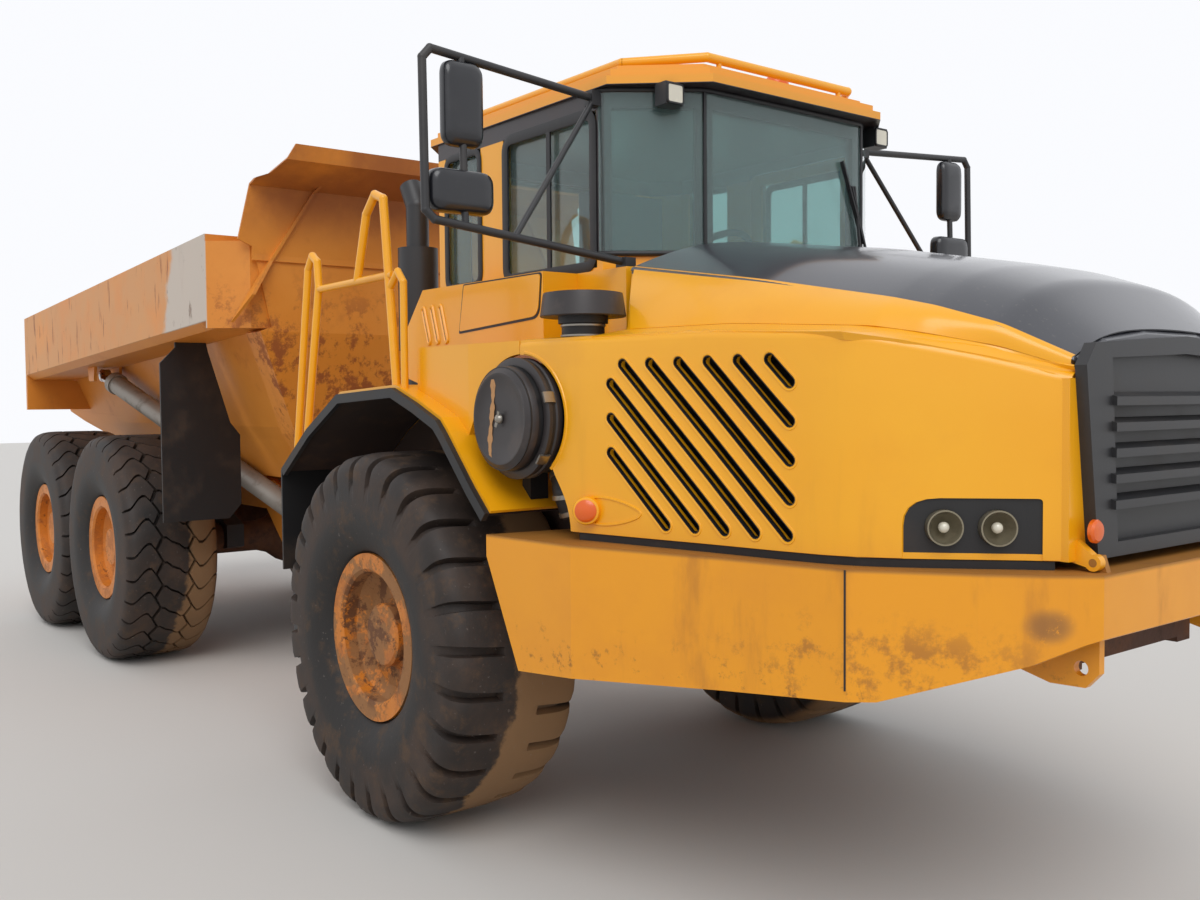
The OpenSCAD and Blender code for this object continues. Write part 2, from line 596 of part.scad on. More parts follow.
// Hood: plan of the side panel's outer face on the right, from the rear to the grille [x, y]
nose_x = 3030;
side_front = [[1270, -1310], [1930, -1185], [2200, -1142], [2370, -1108], [2480, -1066], [2600, -982], [2720, -878],
    [2880, -735], [2960, -676], [2990, -640]];
side_seam = 985;
side_plan = concat([[side_seam, -1348]], side_front);
side_plan_rear = [[230, -1400], [650, -1390], [side_seam - 6, -1349]];
ledge_y = 1110;
ledge_in = [[side_seam, -940], [1385, -940]];
ledge_in_rear = [[230, -ledge_y], [815, -ledge_y], [940, -940], [side_seam - 6, -940]];
slot_low = 1505;
slot_high = 2098;
slot_rear = 1480;
slot_fore = 2255;
slot_first = 1735;
slot_slope = 1.02;
notch_r = canister_r + 22;
module rounded_slot(a, b) {
    d = b - a;
    translate([a[0], -1500, a[1]]) rotate([-90, 0, 0]) cylinder(h = 600, r = slot_w / 2);
    translate([b[0], -1500, b[1]]) rotate([-90, 0, 0]) cylinder(h = 600, r = slot_w / 2);
    translate([a[0], -1500, a[1]]) rotate([0, -atan2(d[1], d[0]), 0]) translate([0, 0, -slot_w / 2])
        cube([norm(d), 600, slot_w]);
}
module side_slots() for (k = [0:slot_count - 1]) {
    foot = slot_first + k * slot_pitch;
    x0 = max(slot_rear, foot - (slot_high - slot_low) / slot_slope);
    x1 = min(foot, slot_fore);
    rounded_slot([x0, slot_low + (foot - x0) * slot_slope], [x1, slot_low + (foot - x1) * slot_slope]);
}
lamp_z0 = 1470;
lamp_z1 = 1650;
module lamp_cut() translate([2592, -1100, lamp_z0]) cube([332, 420, lamp_z1 - lamp_z0]);
// Upper part of the hood side: station, then distance out and height of the shoulder, crease and top edge
band_rows = [[1380, 1290, 2208, 1110, 2236, 905, 2484], [1900, 1188, 2205, 1045, 2232, 900, 2400],
    [2450, 1106, 2178, 960, 2196, 850, 2295], [2600, 994, 2148, 890, 2168, 815, 2258],
    [2800, 812, 2092, 765, 2118, 745, 2190], [2980, 650, 2026, 640, 2044, 612, 2082]];
hood_rear = 1165;
hood_rear_z = 2518;
crown_z = [2650, 2560, 2452, 2418, 2350, 2170];
module side_panel(plan, ledge) difference() {
    union() {
        translate([0, 0, skirt_z]) linear_extrude(shoulder_z - skirt_z) polygon(wall(plan, hood_t));
        translate([0, 0, shoulder_z - hood_t]) linear_extrude(hood_t)
            polygon(concat([for (q = plan) if (q[0] < 1300) q], plan == side_plan_rear ? [] : [[1385, -1287]],
                turned(ledge)));
    }
    side_slots();
    lamp_cut();
    // The front falls away over the headlamps
    side_plate(concat([for (r = band_rows) [r[0], r[2] - 4]], [[3000, 2010], [3000, 2300], [1380, 2300]]), -1500, -300);
}
module hood_top() color(dark) at_axle() {
    g = [for (i = [0:len(band_rows) - 1]) let (x = i == 0 ? hood_rear : band_rows[i][0], w = band_rows[i][5],
        e = i == 0 ? hood_rear_z : band_rows[i][6], c = crown_z[i], back = i == 0 ? 100 : 0)
        [[x, -w, e], [x + back * 0.9, -w * 0.72, (e + 2 * c) / 3], [x + back, -w * 0.3, c],
            [x + back, w * 0.3, c], [x + back * 0.9, w * 0.72, (e + 2 * c) / 3], [x, w, e]]];
    skin(g, shifted(g, [0, 0, -hood_t]));
}
module hood_band() {
    a = [for (i = [0:len(band_rows) - 1]) let (r = band_rows[i], top_x = i == 0 ? hood_rear : r[0],
        top_z = i == 0 ? hood_rear_z : r[6])
        [[r[0] - 4, 3 - r[1], r[2]], [r[0], -r[3], r[4]], [top_x, -r[5], top_z - hood_t]]];
    skin(a, shifted(a, [0, 14, -hood_t]));
}
// The opening round the air cleaner, open down to the fender
module notch() {
    translate([canister[0], -1500, canister[1]]) rotate([-90, 0, 0]) cylinder(h = 600, r = notch_r);
    side_plate([[canister[0] - 250, canister[1] + 95], [canister[0] - 345, canister[1] - 90],
        [canister[0] - 345, 1300], [1275, 1300], [1275, 1535], [1180, 1680], [canister[0] + 180, canister[1] - 190]],
        -1500, -950);
}
// Fixed panel behind the air cleaner, right side only
module rear_panel() color(yellow) at_axle() difference() {
    side_panel(side_plan_rear, ledge_in_rear);
    notch();
    under_arch(0);
}
module hood_sides() color(yellow) at_axle() {
    difference() {
        side_panel(side_plan, ledge_in);
        notch();
    }
    mirror([0, 1, 0]) side_panel(side_plan, ledge_in);
    both() hood_band();
    // Arms from the hood to its hinge line
    both() difference() {
        union() {
            side_plate([[2700, skirt_z], [2700, 1515], [2995, 1515], [hood_pin[0], hood_pin[1] + 24],
                [hood_pin[0], hood_pin[1] - 20], [2960, skirt_z]], -640, -610.3);
            bar([hood_pin[0], -640, hood_pin[1]], [hood_pin[0], -610.3, hood_pin[1]], hood_pin_r + 13);
        }
        translate([hood_pin[0], -650, hood_pin[1]]) rotate([-90, 0, 0]) cylinder(h = 100, r = hood_pin_r + run_gap);
    }
    both() side_plate([[2962, skirt_z], [2962, 2020], [2990, 2020], [2990, skirt_z]], -680, -575);
}
module grille() color(dark) at_axle() {
    difference() {
        cross_plate(whole([[575, skirt_z + 4], [655, 2060], [600, 2130], [0, 2165]]), 2990, nose_x);
        cross_plate(whole([[455, 1500], [500, 2085], [0, 2105]]), 2980, nose_x + 10);
    }
    for (k = [0:bar_count - 1]) let (z = 1610 + k * 82) side_plate([[2992, z], [2992, z + 40], [nose_x + 16, z + 24],
        [nose_x + 16, z - 4]], -500, 500);
    cross_plate(whole([[470, 1480], [515, 2095], [0, 2115]]), 2982, 2991);
}
// Round lamp pockets: station and distance out of each centre
lamp_spots = [[2690, 900], [2812, 792]];
lamp_z = (lamp_z0 + lamp_z1) / 2 - 8;
module headlamps() color(black) at_axle() both() difference() {
    intersection() {
        translate([0, 0, lamp_z0]) linear_extrude(lamp_z1 - lamp_z0) polygon(wall(inset(side_plan, 3), 70));
        lamp_cut();
    }
    for (p = lamp_spots) translate([p[0], -p[1], lamp_z]) rotate([0, 90, -41]) translate([0, 0, -24]) cylinder(h = 90, r = 58);
}
module pre_cleaner() color(black) at_axle() translate([1215, -ledge_y - 92, shoulder_z]) {
    cylinder(h = 60, r = 86);
    translate([0, 0, 60]) cylinder(h = 30, r = 100);
    translate([0, 0, 90]) cylinder(h = 90, r1 = 170, r2 = 158);
}

// Rear frame
module rear_frame() color(orange) at_axle() {
    both() side_plate([[-2030, 760], [-2030, 1250], [-3350, 1250], [-3800, rear_top], [hinge_x - 40, rear_top],
        [hinge_x - 130, hinge_z + 40], [hinge_x - 130, hinge_z - 60], [hinge_x, hinge_z - 130], [rear_x - 300, 1130],
        [mid_x + 500, 1130], [-3500, 760]], -rear_out, -rear_out + beam_t);
    // Head plate and the collar that the hitch turns in
    difference() {
        union() {
            translate([-2080, -rear_out, 740]) cube([80, 2 * rear_out, 540]);
            translate([collar_x - collar_l, 0, hitch_mid]) rotate([0, 90, 0]) cylinder(h = collar_l, r = roll_r + 62);
        }
        translate([collar_x - collar_l + 10, 0, hitch_mid]) rotate([0, 90, 0])
            cylinder(h = collar_l + 20, r = roll_r + run_gap);
    }
    for (x = [-2800, -3600, -5361, -6900]) bar([x, -rear_out + beam_t, x > -3000 ? 1000 : 1240],
        [x, rear_out - beam_t, x > -3000 ? 1000 : 1240], 85);
    // Pads that the body's floor rests on: station of the rear end
    both() for (x = [-6050, -5250, -4450]) translate([x, -rear_out, rear_top - 1])
        cube([260, beam_t, bed_floor - run_gap - rear_top + 1]);
    // Pivot of the bogie beams, the bed hinge pins and the feet of the hoist cylinders
    both() bar([mid_x - bogie_gap / 2, -rear_out + 1, 1180], [mid_x - bogie_gap / 2, -640, 1180], 70);
    both() bar([hinge_x, -rear_out + 1, hinge_z], [hinge_x, -rear_out - 130, hinge_z], 55);
    both() {
        bar([foot[0], -rear_out + 1, foot[2]], [foot[0], -foot[1] + 1, foot[2]], 26);
        translate([foot[0], -foot[1], foot[2]]) sphere(r = ball_r);
    }
}
module bogie_beams() color(dark) at_axle() both() difference() {
    side_plate([[mid_x + 190, wheel_r - 60], [mid_x + 190, wheel_r + 120], [mid_x - bogie_gap / 2 + 200, 1290],
        [mid_x - bogie_gap / 2 - 200, 1290], [rear_x - 190, wheel_r + 120], [rear_x - 190, wheel_r - 60],
        [rear_x + 200, wheel_r - 140], [mid_x - 200, wheel_r - 140]], -640, -500);
    for (x = [mid_x, rear_x]) translate([x, -700, wheel_r]) rotate([-90, 0, 0]) cylinder(h = 300, r = 125 + run_gap);
    translate([mid_x - bogie_gap / 2, -700, 1180]) rotate([-90, 0, 0]) cylinder(h = 300, r = 70 + run_gap);
}
module tail_lamps() color("firebrick") at_axle() both()
    translate([hinge_x - 170, -rear_out + 10, hinge_z - 50]) cube([40, 80, 80]);

// Hoist cylinders: foot on the rear frame and pin on the body, right side as [x, distance out, z]
ball_r = 46;
foot = [flap_at + 240, 560, 1165];
head = [flap_at - 2350, bed_half - 280, rail_low - 220];
hoist_vec = [head[0] - foot[0], foot[1] - head[1], head[2] - foot[2]];
hoist_len = norm(hoist_vec);
hoist_tube_len = hoist_len - 170;
module on_hoist() at_axle() translate([foot[0], -foot[1], foot[2]])
    rotate([0, acos(hoist_vec[2] / hoist_len), atan2(hoist_vec[1], hoist_vec[0])]) children();
module hoist_tube() color("darkgray") on_hoist() difference() {
    union() {
        translate([0, 0, 70]) cylinder(h = hoist_tube_len - 70, r = hoist_r);
        translate([0, 0, hoist_tube_len - 60]) cylinder(h = 60, r = hoist_r + 12);
        rotate([90, 0, 0]) translate([0, 0, -45]) cylinder(h = 90, r = 88);
    }
    rotate([90, 0, 0]) translate([0, 0, -50]) cylinder(h = 100, r = ball_r + 0.4);
    translate([0, 0, 180]) cylinder(h = hoist_len, r = hoist_rod_r + run_gap);
}
module hoist_rod() color("silver") on_hoist() {
    translate([0, 0, 300]) cylinder(h = hoist_len - 300 - 36, r = hoist_rod_r);
    translate([0, 0, hoist_len]) rotate([90, 0, 0]) translate([0, 0, -30]) difference() {
        cylinder(h = 60, r = 54);
        translate([0, 0, -1]) cylinder(h = 62, r = 26);
    }
}

// Dump body: half section of the trough's outer face, from the floor's middle out and up [distance out, z]
kink = [1100, 2450];
brim_out = 1225;
trough = [[0, bed_floor], [floor_half, bed_floor], [floor_half + 160, bed_floor + 290],
    [floor_half + 225, bed_floor + 380], kink, [brim_out, rail_top]];
wall_low = -2360;
wall_mid = -2160;
rail_drop = 230;
rib_deep = 80;
rib_w = 230;
wing_z = 2985;
tail_low = 1925;
flange_t = 30;
fin_deep = 40;
guard_z = 2862;
// Line of the fins over the front wall [distance out, height]
fin_line = [[1385, 2430], [716, 3512]];
module fin(profile) intersection() {
    cross_plate(wall(fin_line, 18), wall_mid - 100, wall_mid + 500);
    side_plate(profile, -bed_half, bed_half);
}
rail_fore = -2350;
rail_aft = tail_x + 780;
// Underside of the chute at station x
function chute_z(x) = bed_floor + 20 + (chute_x - x) * (460 / (chute_x - tail_x));
// A thin slice of the top rail at station x, drop below its front end
module rail_slice(x, drop) cross_plate([[-bed_half, rail_top - drop], [-bed_half, rail_low - drop + 50],
    [-bed_half + 60, rail_low - drop], [-kink[0] + 3 + drop * 0.308, rail_low - drop],
    [-brim_out + 3 + drop * 0.216, rail_top - drop]], x - 1, x);
module bed() color(orange) at_axle() {
    intersection() {
        both() cross_plate(wall(trough, plate_t), tail_x, wall_mid);
        side_plate([[wall_low, bed_floor - 1], [wall_mid, 2420], [wall_mid, rail_top], [rail_fore, rail_top],
            [rail_aft, rail_top - rail_drop], [tail_x + 40, 1920], [chute_x, 1860], [chute_x, bed_floor - 1]],
            -1300, 1300);
    }
    // Front wall with its crease
    intersection() {
        side_plate(wall([[wall_low, bed_floor], [wall_mid, 2420], [wall_mid, 2900]], plate_t), -1270, 1270);
        cross_plate(whole([for (q = trough) q]), -3000, -1900);
    }
    // Chute floor at the tail
    intersection() {
        side_plate([[chute_x + 100, bed_floor], [chute_x, chute_z(chute_x)], [tail_x, chute_z(tail_x)],
            [tail_x, chute_z(tail_x) + 25], [chute_x, chute_z(chute_x) + 30]], -1300, 1300);
        cross_plate(whole([for (q = trough) q]), tail_x, chute_x + 300);
    }
    // Broad ribs down the front corners of the trough
    intersection() {
        both() cross_plate(wall([for (i = [1:4]) trough[i]], -rib_deep), wall_low - 400, wall_mid);
        side_plate([[wall_low, bed_floor], [wall_mid, 2420], [wall_mid, 2460], [wall_mid - rib_w, 2460], [wall_low - rib_w, bed_floor]],
            -bed_half, bed_half);
    }
    // Corner blocks between the rails' ends and the front wall
    both() difference() {
        translate([0, 0, rail_low]) linear_extrude(wing_z - rail_low)
            polygon([[rail_fore, -bed_half], [wall_mid - plate_t, -brim_out], [wall_mid - plate_t, 0], [rail_fore, 0]]);
        cross_plate(whole(inset(trough, plate_t / 2)), rail_fore - 100, wall_mid + 100);
    }
    // Lower halves of the fins on the front wall
    both() fin([[wall_mid - plate_t / 2, rail_low + 30], [wall_mid + 2 * fin_deep, rail_low + 200], [wall_mid + fin_deep, guard_z - run_gap],
        [wall_mid - plate_t / 2, guard_z - run_gap]]);
    // Flanges at the rails' tail ends
    both() difference() {
        cross_plate([[-bed_half, rail_top - rail_drop], [-bed_half, tail_low], [-floor_half, tail_low], [-floor_half, rail_top - rail_drop]],
            rail_aft - flange_t, rail_aft + plate_t);
        cross_plate(whole(inset(trough, plate_t / 2)), rail_aft - 100, rail_aft + 100);
        cross_plate([[-brim_out + 60, rail_top], [-brim_out + 60, rail_low - rail_drop], [-floor_half + 1, rail_low - rail_drop],
            [-floor_half + 1, rail_top]], rail_aft - 100, rail_aft + 100);
    }
    // Top rails
    both() hull() {
        rail_slice(rail_fore, 0);
        rail_slice(rail_aft, rail_drop);
    }
    // Hinge ears and sills under the floor
    both() difference() {
        side_plate([[hinge_x - 110, hinge_z - 60], [hinge_x - 60, hinge_z - 110], [hinge_x + 60, hinge_z - 110],
            [hinge_x + 260, chute_z(hinge_x + 260) + 8], [hinge_x - 260, chute_z(hinge_x - 260) + 8],
            [hinge_x - 110, hinge_z + 60]],
            -rear_out - 110, -rear_out - 40);
        translate([hinge_x, -rear_out - 200, hinge_z]) rotate([-90, 0, 0]) cylinder(h = 250, r = 55 + run_gap);
    }
    // Ears of the hoist rods under the rail
    both() for (y = [-head[1] - 115, -head[1] + 90]) side_plate([[head[0] - 70, head[2] - 50], [head[0] + 70, head[2] - 50],
        [head[0] + 130, rail_low - 60], [head[0] - 130, rail_low - 100]], y, y + 25);
}

// Spill guard on the front wall: side view line [x, z], and half of its front view outline [distance out, z]
guard_line = [[wall_mid, guard_z], [wall_mid, guard_z + 38], [wall_mid + 40, 3330], [wall_mid + 380, 3445], [wall_mid + 396, 3530]];
guard_half = [[1222, 2850], [1222, wing_z - 40], [1315, wing_z], [1240, 3352], [1178, 3374], [1085, 3540]];
module spill_guard() color(orange) at_axle() {
    intersection() {
        side_plate(wall(guard_line, -16), -bed_half, bed_half);
        cross_plate(whole(guard_half), wall_mid - 100, wall_mid + 500);
    }
    both() fin([[wall_mid + 8, guard_z], [wall_mid + fin_deep, guard_z], [wall_mid + 2 * fin_deep, 3300], [wall_mid + 150, 3360], [wall_mid + 45, 3336]]);
}
module mud_flaps() color(black) at_axle() both() {
    difference() {
        cross_plate([for (q = [[3, 1140], [3, 2250], [110, 2360], [110, 2420], [320, 2420], [340, 2330], [490, 1830],
            [560, 1740], [560, 1240], [470, 1140]]) [q[0] - bed_half, q[1]]], flap_at, flap_at + 20);
        side_plate([[rail_fore, rail_low], [rail_aft, rail_low - rail_drop], [rail_aft, rail_top], [rail_fore, rail_top]],
            -bed_half, -kink[0]);
    }
}

front_frame();
front_axle();
engine();
radiator();
bumper();
cab_shell();
cab_glass();
seat();
dash();
roof_rail();
fenders();
fender_lips();
handrails();
ladders();
cowl();
air_cleaner();
exhaust();
mirror_arms();
mirrors();
beacon();
lamps();
rear_panel();
cab_door();
door_glass();
hood_top();
hood_sides();
grille();
headlamps();
pre_cleaner();
hitch();
steer_tube(-1);  // steer_tube_r
steer_tube(1);  // steer_tube_l
steer_rod(-1);  // steer_rod_r
steer_rod(1);  // steer_rod_l
rear_frame();
bogie_beams();
rear_axles();
tail_lamps();
hoist_tube();  // hoist_tube_r
mirror([0, 1, 0]) hoist_tube();  // hoist_tube_l
hoist_rod();  // hoist_rod_r
mirror([0, 1, 0]) hoist_rod();  // hoist_rod_l
bed();
spill_guard();
mud_flaps();
tyre(0, -1, front_groove);  // tyre_fr
tyre(0, 1, front_groove);  // tyre_fl
tyre(mid_x, -1, rear_groove);  // tyre_mr
tyre(mid_x, 1, rear_groove);  // tyre_ml
tyre(rear_x, -1, rear_groove);  // tyre_rr
tyre(rear_x, 1, rear_groove);  // tyre_rl
rim(0, -1);  // rim_fr
rim(0, 1);  // rim_fl
rim(mid_x, -1);  // rim_mr
rim(mid_x, 1);  // rim_ml
rim(rear_x, -1);  // rim_rr
rim(rear_x, 1);  // rim_rl
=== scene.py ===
import json
import math

import bpy
import numpy as np
from mathutils import Matrix


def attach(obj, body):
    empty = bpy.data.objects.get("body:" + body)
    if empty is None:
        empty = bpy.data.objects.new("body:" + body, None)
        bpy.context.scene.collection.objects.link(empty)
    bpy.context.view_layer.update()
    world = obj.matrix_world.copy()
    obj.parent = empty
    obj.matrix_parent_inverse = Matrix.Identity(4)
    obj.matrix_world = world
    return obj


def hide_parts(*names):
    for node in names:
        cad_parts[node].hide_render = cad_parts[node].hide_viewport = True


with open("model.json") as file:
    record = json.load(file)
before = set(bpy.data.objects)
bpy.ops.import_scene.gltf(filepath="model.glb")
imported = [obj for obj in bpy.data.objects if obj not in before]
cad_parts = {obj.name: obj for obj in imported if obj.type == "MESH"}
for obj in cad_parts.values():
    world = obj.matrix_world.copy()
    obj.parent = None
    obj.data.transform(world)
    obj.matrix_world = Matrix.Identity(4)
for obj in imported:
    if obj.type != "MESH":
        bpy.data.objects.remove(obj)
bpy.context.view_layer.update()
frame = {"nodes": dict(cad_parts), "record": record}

NODES = frame["nodes"]
AXLE = 2.485  # the front axle's place along the truck, in metres
AXLES = {"f": AXLE, "m": AXLE - 4.451, "r": AXLE - 6.271}
WHEEL_R, WHEEL_Y = 0.865, 1.267
SIDES = ((-1, "right"), (1, "left"))
UP, AHEAD, BACK, LEFT = (0, 0, 1), (1, 0, 0), (-1, 0, 0), (0, 1, 0)


# ---------------------------------------------------------------- colours and finishes
def linear(code):
    """A colour written as six hex digits, as linear red, green, blue and 1."""
    parts = [int(code[i:i + 2], 16) / 255 for i in (1, 3, 5)]
    return tuple(c / 12.92 if c <= 0.04045 else ((c + 0.055) / 1.055) ** 2.4 for c in parts) + (1.0,)


class Finish:
    """A shader whose colour and roughness start plain and are painted over by layers, each with its own mask."""

    def __init__(self, name, colour, rough, metallic=0.0, coat=0.0):
        self.material = bpy.data.materials.new(name)
        self.material.use_nodes = True
        self.tree = self.material.node_tree
        self.shader = self.tree.nodes["Principled BSDF"]
        self.shader.inputs["Metallic"].default_value = metallic
        self.shader.inputs["Coat Weight"].default_value = coat
        self.shader.inputs["Coat Roughness"].default_value = 0.12
        self.place = self.tree.nodes.new("ShaderNodeTexCoord").outputs["Object"]
        self.colour, self.rough = linear(colour), rough
        self.axes = None

    def node(self, kind, **values):
        made = self.tree.nodes.new(kind)
        for key, value in values.items():
            setattr(made, key, value)
        return made

    def feed(self, socket, value):
        if isinstance(value, bpy.types.NodeSocket):
            self.tree.links.new(value, socket)
        else:
            socket.default_value = value

    def moved(self, scale, shift):
        """The place, each coordinate multiplied by its scale and then shifted."""
        made = self.node("ShaderNodeMapping")
        made.inputs["Scale"].default_value = scale
        made.inputs["Location"].default_value = shift
        self.feed(made.inputs["Vector"], self.place)
        return made.outputs[0]

    def length(self, vector):
        made = self.node("ShaderNodeVectorMath", operation="LENGTH")
        self.feed(made.inputs[0], vector)
        return made.outputs["Value"]

    def noise(self, scale, detail=5.0, rough=0.6, stretch=(1, 1, 1), offset=(0, 0, 0)):
        """Cloudy noise; stretch multiplies the coordinates, so a small number draws it out along that axis."""
        made = self.node("ShaderNodeTexNoise")
        self.feed(made.inputs["Vector"], self.moved(stretch, offset))
        for key, number in (("Scale", scale), ("Detail", detail), ("Roughness", rough)):
            made.inputs[key].default_value = number
        return made.outputs["Fac"]

    def span(self, value, low, high, top=1.0):
        """0 where value is under low, rising smoothly to top at high; low may be the larger one."""
        made = self.node("ShaderNodeMapRange", interpolation_type="SMOOTHSTEP")
        self.feed(made.inputs["Value"], value)
        for key, number in (("From Min", low), ("From Max", high), ("To Min", 0.0), ("To Max", top)):
            made.inputs[key].default_value = number
        return made.outputs[0]

    def maths(self, kind, a, b=0.0):
        made = self.node("ShaderNodeMath", operation=kind)
        self.feed(made.inputs[0], a)
        self.feed(made.inputs[1], b)
        return made.outputs[0]

    def both(self, a, b):
        """The product of two masks."""
        return self.maths("MULTIPLY", a, b)

    def along(self, axis):
        """The place along one axis, 0 to 2, in metres."""
        if self.axes is None:
            self.axes = self.node("ShaderNodeSeparateXYZ")
            self.feed(self.axes.inputs[0], self.place)
        return self.axes.outputs[axis]

    def rise(self, axis, low, high, top=1.0):
        """0 to top along one axis, between two places on it."""
        return self.span(self.along(axis), low, high, top)

    def spot(self, centre, radius, soft=0.5):
        """1 within an ellipsoid about centre with the radii given, falling to 0 outside it."""
        scale = tuple(1 / r for r in radius)
        size = self.length(self.moved(scale, tuple(-c / r for c, r in zip(centre, radius))))
        return self.span(size, 1.0 + soft, 1.0 - soft)

    def from_hub(self, x):
        """Distance from the middle of a wheel whose axle stands at x, in metres."""
        return self.length(self.moved((1, 0, 1), (-x, 0, -WHEEL_R)))

    def layer(self, mask, colour, rough=None):
        """Paints a colour, and a roughness if one is given, where the mask is 1."""
        mix = self.node("ShaderNodeMix", data_type="RGBA")
        for socket, value in (("Factor", mask), (6, self.colour), (7, linear(colour))):
            self.feed(mix.inputs[socket], value)
        self.colour = mix.outputs[2]
        if rough is not None:
            blend = self.node("ShaderNodeMix", data_type="FLOAT")
            for socket, value in (("Factor", mask), (2, self.rough), (3, rough)):
                self.feed(blend.inputs[socket], value)
            self.rough = blend.outputs[0]

    def done(self, height=None, strength=0.0, distance=0.0):
        """The material, with a relief if a height is given."""
        self.feed(self.shader.inputs["Base Color"], self.colour)
        self.feed(self.shader.inputs["Roughness"], self.rough)
        if height is not None:
            made = self.node("ShaderNodeBump")
            made.inputs["Strength"].default_value = strength
            made.inputs["Distance"].default_value = distance
            self.feed(made.inputs["Height"], height)
            self.feed(self.shader.inputs["Normal"], made.outputs[0])
        return self.material


def cab_yellow():
    """The front unit's glossy yellow paint: cloudy fading, thin grime, brown streaks that thicken downwards."""
    f = Finish("cab_yellow", "#F4A80F", 0.3, coat=0.25)
    f.layer(f.span(f.noise(0.9), 0.35, 0.75, 0.55), "#F8B41A")
    f.layer(f.span(f.noise(2.2, 8, offset=(5, 2, 0)), 0.5, 0.85, 0.35), "#D98A1B", 0.45)
    streak = f.noise(5.0, 6, stretch=(1, 1, 0.12), offset=(0, 7, 1))
    f.layer(f.both(f.span(streak, 0.55, 0.8, 0.35), f.rise(2, 2.6, 1.2)), "#A86A1E", 0.6)
    return f.done(f.noise(3.0, 3), 0.05, 0.01)


def bumper_yellow():
    """The bumper's worn yellow: muddy streaks, a dirty lower band, one rusty patch near the right corner, brown splashes
    on the right wing, rust freckles and a brown upper edge."""
    f = Finish("bumper_yellow", "#EC9B10", 0.36, coat=0.15)
    f.layer(f.span(f.noise(1.6, 7), 0.42, 0.72, 0.5), "#DB8A1C", 0.45)
    f.layer(f.span(f.noise(4.5, 9, stretch=(1, 1, 0.25)), 0.56, 0.74, 0.6), "#B4701E", 0.6)
    f.layer(f.both(f.span(f.noise(9.0, 9, 0.75), 0.55, 0.66), f.rise(2, 1.16, 0.98, 0.8)), "#7A4A20", 0.75)
    patch = f.spot((5.43, -0.745, 1.262), (0.09, 0.085, 0.066), 0.25)
    f.layer(f.both(f.span(f.noise(16, 9, 0.8), 0.34, 0.44, 0.8), patch), "#8B5E33", 0.8)
    wing = f.spot((5.0, -1.05, 1.12), (0.5, 0.5, 0.13), 0.6)
    f.layer(f.both(f.span(f.noise(5.5, 9, 0.75, offset=(4, 1, 2)), 0.5, 0.62, 0.7), wing), "#9C6224", 0.7)
    f.layer(f.span(f.noise(38, 6, 0.7), 0.72, 0.78, 0.7), "#5A381C", 0.85)
    f.layer(f.rise(2, 1.405, 1.42, 0.75), "#7D5326", 0.8)
    return f.done(f.noise(2.2, 4), 0.12, 0.02)


def bed_ochre():
    """The body's faded orange paint: paler chalky rails with scratches and one bare rubbed end, a browner upper front
    wall that is partly rust and partly painted shade where it faces down, rust blooms low on the front wall, brown runs
    and small chips."""
    f = Finish("bed_ochre", "#D8862C", 0.45)
    f.layer(f.span(f.noise(1.1, 7), 0.4, 0.7, 0.7), "#E2933A", 0.5)
    f.layer(f.span(f.noise(2.6, 9, 0.7, offset=(3, 3, 3)), 0.54, 0.72, 0.5), "#B5692A", 0.6)
    # First row: the upper front wall browner, partly rust and partly painted shade where the wall leans forward and
    # faces down. Second row: rust blooms low on the front wall.
    for low, high, blotch, colour, rough in (
            (2.86, 3.3, f.span(f.noise(1.7, 7), 0.25, 0.65, 0.75), "#8E4C24", 0.6),
            (2.95, 2.25, f.span(f.noise(5.5, 9, 0.75), 0.5, 0.6, 0.85), "#8A431A", 0.75)):
        wall = f.both(f.rise(2, low, high), f.rise(0, AXLE - 2.6, AXLE - 2.3))
        f.layer(f.both(wall, blotch), colour, rough)
    rail = f.both(f.span(f.maths("ABSOLUTE", f.along(1)), 1.442, 1.448), f.rise(2, 2.1, 2.2))
    f.layer(f.both(rail, f.span(f.noise(2.0, 8), 0.3, 0.6, 0.75)), "#CE9660", 0.55)
    scratch = f.noise(9.0, 8, stretch=(1, 1, 0.22), offset=(0, 0, 3))
    f.layer(f.both(rail, f.span(scratch, 0.57, 0.66, 0.8)), "#93583A", 0.7)
    worn = f.maths("ADD", f.maths("SUBTRACT", f.along(0), f.both(f.along(2), 0.35)), f.both(f.noise(4, 8), 0.35))
    f.layer(f.both(rail, f.span(worn, AXLE - 3.90, AXLE - 3.80, 0.92)), "#C6BDB2", 0.6)
    chips = f.span(f.noise(12, 8, stretch=(1, 1, 0.35)), 0.6, 0.66)
    f.layer(f.both(f.both(rail, f.span(worn, AXLE - 3.90, AXLE - 3.80)), chips), "#8E7A6C", 0.7)
    f.layer(f.span(f.noise(26, 6, 0.7), 0.70, 0.74, 0.8), "#5E2F16", 0.85)
    f.layer(f.span(f.noise(3.5, 6, stretch=(1, 1, 0.12)), 0.62, 0.78, 0.35), "#8C4E22", 0.75)
    return f.done(f.noise(14, 6), 0.12, 0.004)


def cab_body():
    """The cab's paint: yellow below and at the middle posts; the front posts are dark and dusty; the band over the
    windows and the visor's underside are painted shade under the visor, dark and dusty, and the roof above them is
    orange."""
    f = Finish("cab_body", "#F2A81E", 0.3, coat=0.25)
    f.layer(f.span(f.noise(2.2, 8), 0.5, 0.85, 0.35), "#D98A1B", 0.45)
    # Front posts: dark paint. Band over the windows: painted shade under the visor, in the same dark colour.
    posts = f.both(f.rise(0, AXLE + 0.898, AXLE + 0.902), f.rise(2, 2.58, 2.60))
    visor_shade_band = f.both(f.rise(2, 3.222, 3.226), f.rise(2, 3.3135, 3.3125))
    dark = f.maths("MAXIMUM", posts, visor_shade_band)
    f.layer(dark, "#2B2427", 0.4)
    dust = f.both(dark, f.span(f.noise(3, 8), 0.45, 0.75, 0.6))
    f.layer(f.both(dust, f.rise(2, 3.33, 3.31)), "#4A3C38", 0.7)
    f.layer(f.rise(2, 3.3125, 3.3135), "#EFA024", 0.4)
    return f.done()


